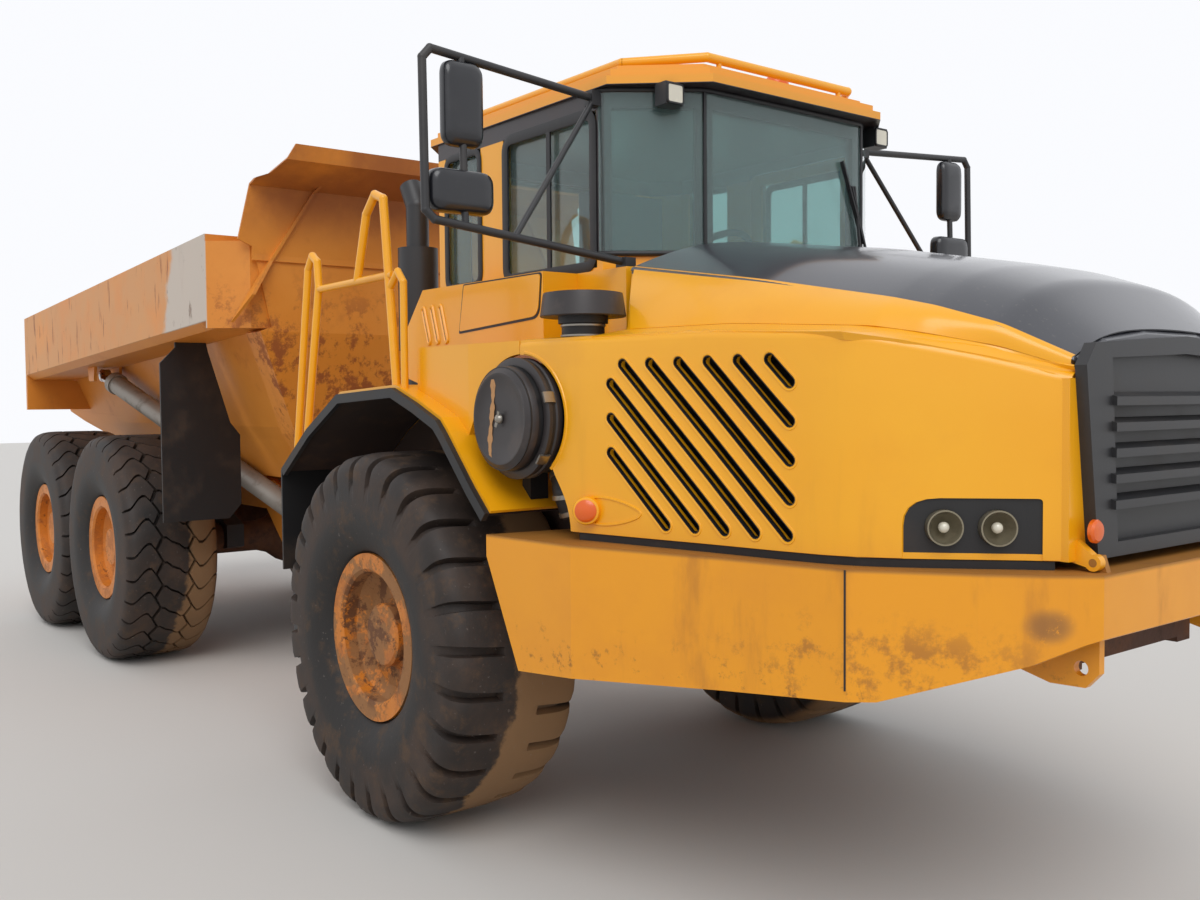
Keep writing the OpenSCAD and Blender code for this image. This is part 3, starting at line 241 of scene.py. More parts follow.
def frame_brown():
    """Chassis paint under dried mud."""
    f = Finish("frame_brown", "#4E3020", 0.75)
    f.layer(f.span(f.noise(2.5, 8), 0.46, 0.68, 0.8), "#74492A", 0.85)
    f.layer(f.span(f.noise(7, 8, 0.75), 0.5, 0.68, 0.8), "#3A2A20", 0.9)
    return f.done(f.noise(30, 6), 0.35, 0.006)


def dark_metal():
    """Dark grey coated steel with dust."""
    f = Finish("dark_metal", "#2A2A2C", 0.42)
    f.layer(f.span(f.noise(3, 7), 0.5, 0.8, 0.45), "#4A4540", 0.65)
    return f.done(f.noise(40, 3), 0.08, 0.002)


def hood_black():
    """The hood's dark glare-free top: satin charcoal with fine grain and dust."""
    f = Finish("hood_black", "#34353C", 0.3, coat=0.7)
    f.layer(f.span(f.noise(1.4, 6), 0.45, 0.75, 0.5), "#45464D", 0.42)
    f.layer(f.span(f.noise(60, 2), 0.62, 0.75, 0.3), "#6A655E", 0.6)
    return f.done(f.noise(90, 2), 0.05, 0.001)


def moulded_black(name, mud):
    """Black moulded plastic and rubber, with dried mud in its hollows."""
    f = Finish(name, "#1B1A1B", 0.5)
    f.layer(f.span(f.noise(4, 7), 0.48, 0.78, mud), "#4B3A2C", 0.8)
    return f.done(f.noise(60, 4), 0.12, 0.002)


def tyre_rubber(name, x, mud, low):
    """Tyre rubber: a blacker band by the rim, dusty flanks, dark lugs with pale scuffs, and dried mud over the middle of
    the tread from the inboard side, with a ragged edge that reaches further out low down."""
    f = Finish(name, "#1A1614", 0.6)
    r = f.from_hub(x)
    f.layer(f.both(f.span(r, 0.56, 0.63), f.span(f.noise(3, 8), 0.3, 0.7, 0.9)), "#433329", 0.75)
    lugs = f.span(f.noise(4, 7, offset=(2, 0, 1)), 0.38, 0.62, 0.7)
    f.layer(f.both(f.span(r, 0.74, 0.8), lugs), "#241C18", 0.6)
    f.layer(f.span(f.noise(7, 9, 0.7, offset=(1, 4, 2)), 0.5, 0.68, 0.5 * mud), "#5E4630", 0.85)
    ragged = f.both(f.noise(5.5, 7, 0.65), 0.22)
    outboard = f.maths("SUBTRACT", f.maths("ABSOLUTE", f.along(1)), WHEEL_Y)
    edge = f.maths("ADD", f.maths("ADD", outboard, ragged), f.both(f.along(2), 0.10))
    f.layer(f.both(f.span(edge, low + 0.035, low, mud), f.span(r, 0.8, 0.84)), "#8A6947", 0.92)
    f.layer(f.span(f.noise(45, 3), 0.66, 0.74, 0.3), "#8A8078", 0.8)
    return f.done(f.noise(35, 6), 0.25, 0.004)


def rim_orange(name, x, mud):
    """Wheel rims: orange paint with worn edges, brown mud caked in the dish and thin on the flange."""
    f = Finish(name, "#CE7A22", 0.5, coat=0.1)
    r = f.from_hub(x)
    f.layer(f.span(f.noise(6, 9, 0.7), 0.45, 0.62, 0.7), "#A4602A", 0.75)
    thin = f.span(f.noise(4.2, 9, 0.72, offset=(2, 2, 2)), 0.60 - mud, 0.66 - mud)
    f.layer(f.both(thin, f.span(r, 0.46, 0.40)), "#96683E", 0.95)
    caked = f.span(f.noise(9, 9, 0.75), 0.60 - 0.7 * mud, 0.66 - 0.7 * mud)
    f.layer(f.both(caked, f.span(r, 0.36, 0.30)), "#6B452A", 0.95)
    f.layer(f.span(r, 0.405, 0.425, 0.55), "#DDAA6C", 0.6)
    f.layer(f.span(f.noise(20, 8, 0.75), 0.58, 0.66, 0.7), "#4A2C1A", 0.9)
    return f.done(f.noise(24, 7), 0.5, 0.010)


def clear_glass():
    """Greenish window glass with faint dust."""
    f = Finish("clear_glass", "#C9E2E0", 0.02)
    f.shader.inputs["Transmission Weight"].default_value = 0.92
    f.shader.inputs["IOR"].default_value = 1.45
    f.layer(f.span(f.noise(3, 6), 0.6, 0.85, 0.12), "#C9CBC0", 0.25)
    return f.done()


def plain(name, colour, rough, metallic, fleck, share, scale=8.0, coat=0.0):
    """A plain finish with soft flecks of a second colour."""
    f = Finish(name, colour, rough, metallic, coat)
    f.layer(f.span(f.noise(scale, 7), 0.5, 0.78, share), fleck, min(1.0, rough + 0.2))
    return f.done(f.noise(scale * 6, 4), 0.08, 0.002)


# Plain finishes: colour, roughness, metal, colour of the flecks, their share, their scale, coat
PLAIN = {
    # Dark brown of dried mud and painted shade: the fender linings and the dark plate behind the engine
    "dark_mud_and_shade": ("#33221A", 0.9, 0.0, "#5A3D28", 0.5, 5),
    # Black rubber seals; the same black is painted shade inside the hood's slots and in the cowl's louvres
    "black_seals_and_shade": ("#17171A", 0.45, 0.0, "#3A3634", 0.4, 12),
    "moulded_gloss": ("#1C1D22", 0.28, 0.0, "#3C3A3C", 0.4, 6, 0.3),
    "cover_dark": ("#302B2B", 0.42, 0.0, "#574C46", 0.5, 7),
    "pale_streak": ("#B98A5C", 0.8, 0.0, "#8A6444", 0.6, 18),
    "rod_chrome": ("#C9CACB", 0.16, 1.0, "#6A6058", 0.3),
    "tube_paint": ("#9A938A", 0.45, 0.3, "#5A4634", 0.7),
    "engine_cast": ("#4A4A46", 0.6, 0.4, "#2A2420", 0.7),
    "core_black": ("#1B1B1C", 0.6, 0.2, "#3A3530", 0.5, 30),
    "seat_fabric": ("#46566A", 0.9, 0.0, "#5E6E80", 0.5, 40),
    "amber_lens": ("#E2600C", 0.3, 0.0, "#F08218", 0.5, 20, 0.3),
    "red_lens": ("#8E1B12", 0.2, 0.0, "#C03A2A", 0.3, 20, 0.6),
    "bare_steel": ("#9A958C", 0.35, 0.9, "#5A4A3A", 0.6, 20),
    "lens_clear": ("#D8D2C0", 0.12, 0.0, "#F2EBD2", 0.4, 30, 0.8),
    "lamp_silver": ("#8E8672", 0.3, 0.6, "#5A4A34", 0.5, 14),
}
FINISH = {
    "yellow_paint": cab_yellow(),
    "bumper": bumper_yellow(),
    "ochre_paint": bed_ochre(),
    "cab_body": cab_body(),
    "frame_paint": frame_brown(),
    "dark_paint": dark_metal(),
    "hood_black": hood_black(),
    "black_plastic": moulded_black("moulded_black", 0.25),
    "rubber_black": moulded_black("rubber_black", 0.6),
    "tyre_front": tyre_rubber("tyre_front", AXLES["f"], 1.0, 0.20),
    "tyre_middle": tyre_rubber("tyre_middle", AXLES["m"], 0.8, 0.07),
    "tyre_black": tyre_rubber("tyre_rear", AXLES["r"], 0.5, 0.05),
    "rim_paint": rim_orange("rim_front", AXLES["f"], 0.14),
    "rim_middle": rim_orange("rim_middle", AXLES["m"], 0.0),
    "rim_rear": rim_orange("rim_rear", AXLES["r"], 0.0),
    "clear_glass": clear_glass(),
}
FINISH.update({name: plain(name, *values) for name, values in PLAIN.items()})
# Nodes whose finish isn't the one of their material slot
SPECIAL = {"bumper": "bumper", "hood_top": "hood_black", "cab_shell": "cab_body", "rim_mr": "rim_middle",
           "rim_ml": "rim_middle", "rim_rr": "rim_rear", "rim_rl": "rim_rear"}
for entry in frame["record"]["subparts"]:
    slots_of_node = NODES[entry["node"]].data.materials
    slots_of_node.clear()
    slots_of_node.append(FINISH[SPECIAL.get(entry["node"], entry["material_slot"])])


# ---------------------------------------------------------------- meshes from arrays
# A part is a pair: an array of points [n, 3] and a list of arrays of corners [m, k], one for each number of corners.
def grid_faces(rows, columns, round_rows=False, round_columns=False):
    """Corners of the quads of a grid of points counted row by row; a round way joins its last line to its first."""
    i = np.arange(rows if round_rows else rows - 1)[:, None]
    j = np.arange(columns if round_columns else columns - 1)[None, :]
    i2, j2 = (i + 1) % rows, (j + 1) % columns
    return np.stack([i * columns + j, i * columns + j2, i2 * columns + j2, i2 * columns + j], -1).reshape(-1, 4)


def closed(points, faces):
    """A closed part, its faces turned over as a whole if its volume, summed over fans of triangles, is negative."""
    points, volume = np.asarray(points, float).reshape(-1, 3), 0.0
    for f in faces:
        a, b, c = points[f[:, :1]], points[f[:, 1:-1]], points[f[:, 2:]]
        volume += np.sum(a * np.cross(b, c))
    return points, faces if volume > 0 else [f[:, ::-1] for f in faces]


def tube(rings):
    """Rings of points [rings, points, 3] joined one to the next, with flat ends."""
    count, each = rings.shape[:2]
    first = np.arange(each)[None]
    return closed(rings, [grid_faces(count, each, False, True), first[:, ::-1], (count - 1) * each + first])


def mirrored(part):
    return part[0] * [1, -1, 1], [f[:, ::-1] for f in part[1]]


def sided(parts, side):
    """Parts made for the right side, mirrored for the left one."""
    return parts if side < 0 else [mirrored(part) for part in parts]


def joined_mesh(name, parts):
    """One mesh of several parts."""
    counts = np.cumsum([0] + [len(points) for points, _ in parts])
    faces = [f + start for (_, part), start in zip(parts, counts) for f in part]
    corners = np.concatenate([f.ravel() for f in faces]).astype(np.int32)
    sizes = np.concatenate([np.full(len(f), f.shape[1]) for f in faces])
    mesh = bpy.data.meshes.new(name)
    mesh.vertices.add(int(counts[-1]))
    mesh.vertices.foreach_set("co", np.vstack([points for points, _ in parts]).ravel())
    mesh.loops.add(len(corners))
    mesh.loops.foreach_set("vertex_index", corners)
    mesh.polygons.add(len(sizes))
    mesh.polygons.foreach_set("loop_start", (np.cumsum(sizes) - sizes).astype(np.int32))
    mesh.update(calc_edges=True)
    mesh.validate()
    return mesh


def linked(name, mesh):
    made = bpy.data.objects.new(name, mesh)
    bpy.context.scene.collection.objects.link(made)
    return made


def solid(name, parts, finish, body, crease=35.0):
    """An object made of parts, or of a finished mesh, smooth up to the crease angle."""
    mesh = joined_mesh(name, parts) if isinstance(parts, list) else parts
    mesh.polygons.foreach_set("use_smooth", np.ones(len(mesh.polygons), bool))
    mesh.set_sharp_from_angle(angle=math.radians(crease))
    mesh.materials.clear()
    mesh.materials.append(FINISH[finish])
    made = linked(name, mesh)
    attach(made, body)
    return made


def carved(name, part, tools):
    """The mesh of a part with the tools cut away; the tools may overlap."""
    made = [linked("carving", joined_mesh("carving", parts)) for parts in ([part], tools)]
    cut = made[0].modifiers.new("cut", "BOOLEAN")
    cut.operation, cut.solver, cut.object = "DIFFERENCE", "EXACT", made[1]
    cut.use_self = True
    bpy.context.view_layer.update()
    mesh = bpy.data.meshes.new_from_object(made[0].evaluated_get(bpy.context.evaluated_depsgraph_get()))
    mesh.name = name
    for thing in made:
        bpy.data.meshes.remove(thing.data)
    return mesh


def shell(grid, thick, inside):
    """A sheet: the grid of points, the same points moved along the grid's normals towards the place called inside (away
    from it if thick is negative), and the borders joined."""
    n, m = grid.shape[:2]
    normal = np.cross(np.gradient(grid, axis=0), np.gradient(grid, axis=1))
    normal /= np.maximum(np.linalg.norm(normal, axis=2, keepdims=True), 1e-9)
    if np.mean(np.sum(normal * (grid - np.asarray(inside)), axis=2)) < 0:
        normal = -normal
    outer = grid_faces(n, m)[:, ::-1]
    a = np.arange(n * m).reshape(n, m)
    rim = np.concatenate([a[0, :], a[1:, -1], a[-1, -2::-1], a[-2:0:-1, 0]])
    after = np.roll(rim, -1)
    sides = np.stack([rim, after, after + n * m, rim + n * m], -1)
    return closed(np.concatenate([grid, grid - normal * thick]), [np.vstack([outer, outer[:, ::-1] + n * m, sides])])


def prism(outline, low, high, axis=1):
    """A closed outline, as two coordinates in order, carried along the third axis from low to high."""
    return tube(np.stack([np.insert(np.asarray(outline, float), axis, level, axis=1) for level in (low, high)]))


def box(low, high):
    (x0, y0, z0), (x1, y1, z1) = low, high
    return prism([(x0, y0), (x1, y0), (x1, y1), (x0, y1)], z0, z1, 2)


def sweep(path, normals, section, round_path=True):
    """A section [across the path, out along the normal] carried along a path that returns to its start, or with flat
    ends along one that doesn't."""
    path, section = np.asarray(path, float), np.asarray(section, float)
    ahead = np.roll(path, -1, 0) - np.roll(path, 1, 0) if round_path else np.gradient(path, axis=0)
    ahead /= np.linalg.norm(ahead, axis=1, keepdims=True)
    side = np.cross(ahead, np.broadcast_to(np.asarray(normals, float), path.shape))
    side /= np.linalg.norm(side, axis=1, keepdims=True)
    up = np.cross(side, ahead)
    rings = path[:, None] + side[:, None] * section[None, :, :1] + up[:, None] * section[None, :, 1:]
    return closed(rings, [grid_faces(len(path), len(section), True, True)]) if round_path else tube(rings)


def bar(a, b, normal, section):
    """A straight sweep from a to b."""
    return sweep(np.linspace(a, b, 3), normal, section, False)


def full_turn(count):
    return np.arange(count) * 2 * math.pi / count


def circle(centre, radius, turn):
    return np.asarray(centre) + radius * np.stack([np.cos(turn), np.sin(turn)], -1)


def oval(wide, high, count=6):
    """An oval section for a sweep."""
    return circle((0, 0), 1, full_turn(count)) * [wide, high]


def turned(outline, centre, axis, steps=48):
    """An outline [radius, distance along the axis] spun round an axis through centre. Both ends lie on the axis, or the
    outline returns to its start and makes a ring."""
    axis, outline, centre = np.asarray(axis, float), np.asarray(outline, float), np.asarray(centre, float)
    axis = axis / np.linalg.norm(axis)
    across = np.cross(axis, UP if abs(axis[2]) < 0.9 else AHEAD)
    across /= np.linalg.norm(across)
    ring = outline[0, 0] > 1e-9
    line = outline if ring else outline[1:-1]
    turn = full_turn(steps)[:, None]
    spokes = across * np.cos(turn) + np.cross(axis, across) * np.sin(turn)
    points = (centre + line[None, :, :1] * spokes[:, None] + line[None, :, 1:] * axis).reshape(-1, 3)
    faces = [grid_faces(steps, len(line), True, ring)]
    if not ring:
        points = np.vstack([points, centre + outline[0, 1] * axis, centre + outline[-1, 1] * axis])
        first, tip = np.arange(steps) * len(line), steps * len(line)
        after = np.roll(first, -1)
        last = len(line) - 1
        faces += [np.stack([first, after, np.full(steps, tip)], -1),
                  np.stack([after + last, first + last, np.full(steps, tip + 1)], -1)]
    return closed(points, faces)


# ---------------------------------------------------------------- curves and outlines
def smoothstep(x, low, high):
    """0 under low, 1 over high, and 3 t^2 - 2 t^3 between them."""
    t = np.clip((x - low) / (high - low), 0, 1)
    return t * t * (3 - 2 * t)


def spline_at(knots, place):
    """Points on a smooth curve through the knots (Catmull-Rom weights) at places counted in knots."""
    k = np.asarray(knots, float)
    k = np.vstack([2 * k[0] - k[1], k, 2 * k[-1] - k[-2]])
    place = np.clip(np.asarray(place, float), 0, len(knots) - 1 - 1e-9)
    i = place.astype(int)
    t = (place - i)[:, None]
    a, b, c, d = k[i], k[i + 1], k[i + 2], k[i + 3]
    return 0.5 * (2 * b + (c - a) * t + (2 * a - 5 * b + 4 * c - d) * t ** 2 + (3 * b - a - 3 * c + d) * t ** 3)


def soft(x, stations, values, reach=0.07):
    """A broken line through the values, rounded by the mean over a short reach to each side."""
    return np.mean([np.interp(x + d * reach, stations, values) for d in np.linspace(-1, 1, 9)], axis=0)


def lengths(line):
    """How far along the line each of its points is."""
    return np.concatenate([[0], np.cumsum(np.linalg.norm(np.diff(line, axis=0), axis=1))])


def stadium(a, b, r, steps=8):
    """Outline of a slot from a to b with round ends."""
    a, b = np.asarray(a, float), np.asarray(b, float)
    start = math.atan2(*(b - a)[::-1])
    turn = np.linspace(-math.pi / 2, math.pi / 2, steps)
    far, near = circle(b, r, start + turn), circle(a, r, start + math.pi + turn)
    return np.vstack([far, np.linspace(far[-1], near[0], 7)[1:-1], near, np.linspace(near[-1], far[0], 7)[1:-1]])


def rounded(corners, radii, steps=6):
    """A polygon with each corner rounded by a quadratic curve that starts at the radius from the corner."""
    corners, out = np.asarray(corners, float), []
    radii = np.ones(len(corners)) * radii
    for c, before, after, r in zip(corners, np.roll(corners, 1, 0), np.roll(corners, -1, 0), radii):
        a, b = (c + (q - c) / np.linalg.norm(q - c) * r for q in (before, after))
        t = np.linspace(0, 1, steps)[:, None]
        out.append((1 - t) ** 2 * a + 2 * t * (1 - t) * c + t ** 2 * b)
    return np.vstack(out)


def rectangle(x0, x1, y0, y1):
    return [[x0, y0], [x1, y0], [x1, y1], [x0, y1]]


# ---------------------------------------------------------------- tyres
# Half profile of the tyre over its lugs and of the carcass between them: [radius, distance from the middle plane]
LUG_LINE = np.array([[.865, 0], [.8645, .09], [.863, .17], [.858, .235], [.846, .285], [.815, .318], [.77, .331],
                     [.70, .334], [.62, .3375], [.55, .334], [.49, .32], [.44, .298], [.412, .279], [.399, .26],
                     [.394, .249], [.34, .247]])
CASE_LINE = np.vstack([[[.822, 0], [.821, .09], [.818, .17], [.812, .225], [.80, .26], [.778, .29], [.745, .31],
                        [.69, .322], [.62, .3325], [.55, .332]], LUG_LINE[10:]])


def front_tread(u, k, out):
    """Front tread: the rows bend so that a groove follows a row. Deep grooves run from beside the middle band over the
    shoulder and fade out on the flank; they slant, widen outwards and stand half a pitch apart left and right."""
    wider = 0.8 + 0.6 * smoothstep(k, 1.2, 5.5)
    near = np.clip(np.abs(u) / 0.2, 0, 1)
    place = u * (1 + (wider - 1) * (1 - near)) + 0.25 + 0.55 * np.clip(out - 0.09, 0, 0.26)
    deep = smoothstep(k, 1.0, 1.25) * (1 - smoothstep(k, 6.3, 7.2))
    groove = (1 - smoothstep(np.abs(u), 0.084, 0.112)) * deep
    worn = 0.10 * (1 - smoothstep(np.abs(u), 0.1, 0.3)) * smoothstep(k, 2.5, 4.5) * deep
    return place, 1 - np.maximum(groove, worn)


def rear_tread(u, k, out):
    """Rear tread: a thin zig-zag groove round the tyre on each side, bent cross grooves between them and S-shaped ones
    out to the shoulder, so that the middle is a row of six-sided blocks and each shoulder a row of lugs."""
    outer = smoothstep(k, 1.2, 1.5)
    bend = 0.30 * np.sin(np.clip((out - 0.12) / 0.17, 0, 1) * math.pi * 1.3)
    place = u + 0.25 - 0.25 * (1 - smoothstep(k, 0.0, 0.9)) + bend * outer
    shoulder = (1 - smoothstep(np.abs(u), 0.036, 0.056)) * outer * (1 - smoothstep(k, 4.9, 5.8))
    centre = (1 - smoothstep(np.abs(np.abs(u) - 0.5), 0.030, 0.050)) * (1 - smoothstep(k, 1.05, 1.2))
    ring = smoothstep(k, 1.16, 1.24) * (1 - smoothstep(k, 1.38, 1.46))
    return place, 1 - 0.85 * np.maximum(np.maximum(shoulder, centre), ring)


# Tread, pitches round the tyre, columns in knots of the half profile, rows within one pitch
FLANK = [8.4, 9, 9.5, 10, 10.5, 11, 11.4, 11.8, 12.2, 12.6, 13, 13.5, 14, 15]
TREADS = {
    "front": (front_tread, 28, [0, .3, .6, .9, 1.05, 1.22, 1.7, 2.3, 2.9, 3.4, 3.9, 4.3, 4.7, 5.1, 5.5, 5.9, 6.3, 6.8,
                                7.3, 7.8] + FLANK,
              [-.112, -.084, -.05, 0, .05, .084, .112, .16, .3, .44, .58, .72, .82]),
    "rear": (rear_tread, 30, [0, .3, .6, .9, 1.06, 1.16, 1.24, 1.38, 1.46, 1.7, 2.0, 2.4, 2.8, 3.2, 3.6, 4.0, 4.4, 4.8,
                              5.2, 5.8, 6.5, 7.2, 7.8] + FLANK,
             [-.056, -.036, 0, .036, .056, .15, .28, .38, .45, .47, .5, .53, .55, .62, .72, .85]),
}


def tyre(name, x, side, kind, finish, body):
    """A tyre as a grid over the turn and the profile: each point lies between the carcass line and the lug line, by the
    tread's height there; the tread also bends the rows. The bead returns inside the rim and closes the ring."""
    tread, lugs, half, cell = TREADS[kind]
    half, cell = np.array(half), np.array(cell)
    k = np.concatenate([-half[:0:-1], half])
    sign, k = np.where(k < 0, -1.0, 1.0), np.abs(k)
    lug, case = spline_at(LUG_LINE, k), spline_at(CASE_LINE, k)
    u = np.tile(np.where(cell > 0.5, cell - 1, cell), lugs)[:, None]
    zig = 0 * u
    if kind == "rear":
        zig = 0.30 * (np.abs(u) * 4 - 1) * (1 - smoothstep(np.abs(k[None, :] - 1.31), 0.2, 0.9))
    zig_y = np.interp(k[None, :] - zig, np.arange(len(LUG_LINE)), LUG_LINE[:, 1])
    place, height = tread(u, k[None, :], lug[None, :, 1])
    turn = (np.arange(lugs)[:, None] + cell[None, :]).reshape(-1, 1) + (place - u) * sign
    phi = turn * 2 * math.pi / lugs
    wobble = 0.0016 * np.sin(phi * 13) * np.sin(phi * 5 + 1) + 0.0012 * np.sin(phi * 31 + 9 * lug[None, :, 1])
    r = case[None, :, 0] + height * (lug - case)[None, :, 0] + wobble * smoothstep(lug[None, :, 0], 0.7, 0.8) * height
    r = np.minimum(r, WHEEL_R)
    y = np.where(k[None, :] < 3, zig_y, case[None, :, 1] + height * (lug - case)[None, :, 1]) * sign
    points = np.stack([x + r * np.cos(phi), side * (WHEEL_Y + y), WHEEL_R + r * np.sin(phi)], -1)
    return solid(name, [closed(points, [grid_faces(len(turn), len(k), True, True)])], finish, body, 38)


for row, (words, kind, finish) in {"f": ("front_", "front", "tyre_front"), "m": ("middle_", "rear", "tyre_middle"),
                                   "r": ("rear_", "rear", "tyre_black")}.items():
    for side, word in SIDES:
        made = tyre("lugged_tyre_" + words + word, AXLES[row], side, kind, finish, "wheel_" + words + word)
        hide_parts("tyre_" + row + word[0])


# ---------------------------------------------------------------- hood
# Plan of the hood side from its rear seam to the nose: station and distance out, metres ahead of the front axle
SIDE_LINE = np.array([[.985, 1.348], [1.27, 1.31], [1.93, 1.185], [2.2, 1.142], [2.37, 1.108], [2.48, 1.066],
                      [2.6, .982], [2.72, .878], [2.88, .735], [2.96, .676], [2.99, .64]])
# Stations along the upper hood: station; height of the shoulder; distance out and height of the crease; station,
# distance out and height of the black top's edge; height of the crown
BAND_ROWS = np.array([[1.38, 2.208, 1.11, 2.236, 1.165, .905, 2.518, 2.65],
                      [1.9, 2.205, 1.045, 2.232, 1.9, .9, 2.4, 2.56],
                      [2.45, 2.178, .96, 2.196, 2.45, .85, 2.295, 2.452],
                      [2.6, 2.148, .89, 2.168, 2.6, .815, 2.258, 2.418],
                      [2.8, 2.092, .765, 2.118, 2.8, .745, 2.19, 2.35],
                      [2.98, 2.026, .64, 2.044, 2.98, .612, 2.082, 2.17]])
SHEET, LIFT = 0.006, 0.007  # the skins' thickness, and how far they stand out over the panels under them
SKIRT, SHOULDER_R = 1.452, 0.034  # height of the side's lower edge, radius of its upper one
CANISTER = np.array([AXLE + 0.985, -1.11, 1.893])  # where the air cleaner's axis meets its foot
PRE_CLEANER = (AXLE + 1.215, -1.202, 2.21)


def side_out(x):
    """Distance of the painted side from the middle plane."""
    return soft(x, SIDE_LINE[:, 0], SIDE_LINE[:, 1]) + LIFT


def side_normal(x):
    """The direction out of the right side."""
    slope = (side_out(x + 0.01) - side_out(x - 0.01)) / 0.02
    n = np.stack([-slope, -np.ones_like(slope), np.zeros_like(slope)], -1)
    return n / np.linalg.norm(n, axis=-1, keepdims=True)


def on_side(line, sunk, section, round_path=True):
    """A section swept along a line on the right side, given as stations and heights and sunk a little into the sheet."""
    path = np.stack([AXLE + line[:, 0], sunk - side_out(line[:, 0]), line[:, 1]], -1)
    return sweep(path, side_normal(line[:, 0]), section, round_path)


def slots():
    """The nine slots' ends, as in the part's source: lines of one slant, cut off at the same two stations."""
    slant, behind, ahead = 1.02, 1.48, 2.255
    for foot in 1.735 + 0.128 * np.arange(9):
        stations = max(behind, foot - 0.593 / slant), min(foot, ahead)
        yield tuple((x, 1.505 + (foot - x) * slant) for x in stations)


def hood_side(side, word):
    """The hood's painted side: a sheet over the plan line, upright from the skirt to a rounded shoulder and on to the
    crease of the upper band, or over the flat ledge behind it. Slots, lamp opening and the air cleaner's notch are cut
    through. Then the slots' lips, black slot liners as painted shade, and the side marker inside an almond-shaped lip."""
    x = np.linspace(0.987, 2.987, 130)
    top, crease_out, crease_up = (soft(x, BAND_ROWS[:, 0], BAND_ROWS[:, k]) for k in (1, 2, 3))
    top = top + LIFT
    ahead, ledge_out = smoothstep(x, 1.335, 1.375), 0.942
    crease = np.stack([ledge_out + ahead * (crease_out + 0.003 - ledge_out),
                       top + ahead * (crease_up + 0.006 - top)], -1)
    edge = np.stack([side_out(x), top], -1)
    columns = [np.stack([edge[:, 0], SKIRT + (top - SHOULDER_R - SKIRT) * f], -1) for f in (0, 0.25, 0.5, 0.75, 1)]
    columns += [edge - SHOULDER_R + p for p in circle((0, 0), SHOULDER_R, np.radians([18, 36, 54, 72, 88]))]
    shoulder = columns[-1]
    columns += [shoulder + (crease - shoulder) * f for f in (0.35, 0.7, 1)]
    grid = np.stack([np.insert(column * [-1, 1], 0, AXLE + x, axis=1) for column in columns], 1)
    sheet = shell(grid, SHEET, (AXLE + 1.9, 0, 1.9))
    lamp = rounded([[2.597, 1.40], [2.597, 1.645], [2.921, 1.645], [2.921, 1.40]], [.02, .09, .012, .02])
    tools = [prism(stadium(a, b, 0.0215) + [AXLE, 0], -1.6, -0.9) for a, b in slots()]
    tools.append(prism(lamp + [AXLE, 0], -1.3, -0.5))
    lips = [on_side(stadium(a, b, 0.0265), 0.0015, oval(0.0055, 0.005)) for a, b in slots()]
    if side < 0:
        notch = circle(CANISTER[::2], 0.259, full_turn(48))
        low = rounded([[0.75, 1.80], [0.75, 1.30], [1.273, 1.30], [1.273, 1.535], [1.18, 1.68], [1.165, 1.72],
                       [1.0, 1.9]], [.01, .01, .01, .1, .02, .01, .01])
        tools += [prism(notch, -1.6, -1.0), prism(low + [AXLE, 0], -1.55, -1.05)]
        rim = circle(CANISTER[::2] - [AXLE, 0], 0.268, np.radians(np.linspace(-48, 196, 40)))
        lips.append(on_side(rim[rim[:, 0] > 0.995], 0.001, oval(0.008, 0.006), False))
    mesh = carved("hood_side_skin_" + word, sided([sheet], side)[0], sided(tools, side))
    solid("hood_side_skin_" + word, mesh, "yellow_paint", "hood", 40)
    turn = full_turn(40)
    dent = np.stack([1.47 + 0.150 * np.cos(turn), 1.541 + 0.050 * np.sin(turn) * (1 - 0.35 * np.cos(turn))], -1)
    lips.append(on_side(dent, 0.001, oval(0.006, 0.006)))
    root, aim = (AXLE + 1.352, 0.018 - side_out(1.352), 1.541), (0.62, -0.78, 0)
    cup = [[0, -.01], [.044, -.01], [.054, 0], [.0555, .05], [.051, .062], [.045, .064], [0, .064]]
    lips.append(turned(cup, root, aim))
    lens = turned([[0, .06], [.043, .06], [.043, .067], [.034, .073], [0, .076]], root, aim, 32)
    # Black liners 85 mm deep inside each slot: painted shade, so the slots read dark
    slot_shade_liners = [on_side(stadium(a, b, 0.0197), 0.001, rectangle(-.0012, .0012, -.085, .002)) for a, b in slots()]
    solid("hood_slot_lips_" + word, sided(lips, side), "yellow_paint", "hood", 50)
    solid("hood_slot_shade_liners_" + word, sided(slot_shade_liners, side), "black_seals_and_shade", "hood", 50)
    solid("side_marker_lens_" + word, sided([lens], side), "amber_lens", "hood")


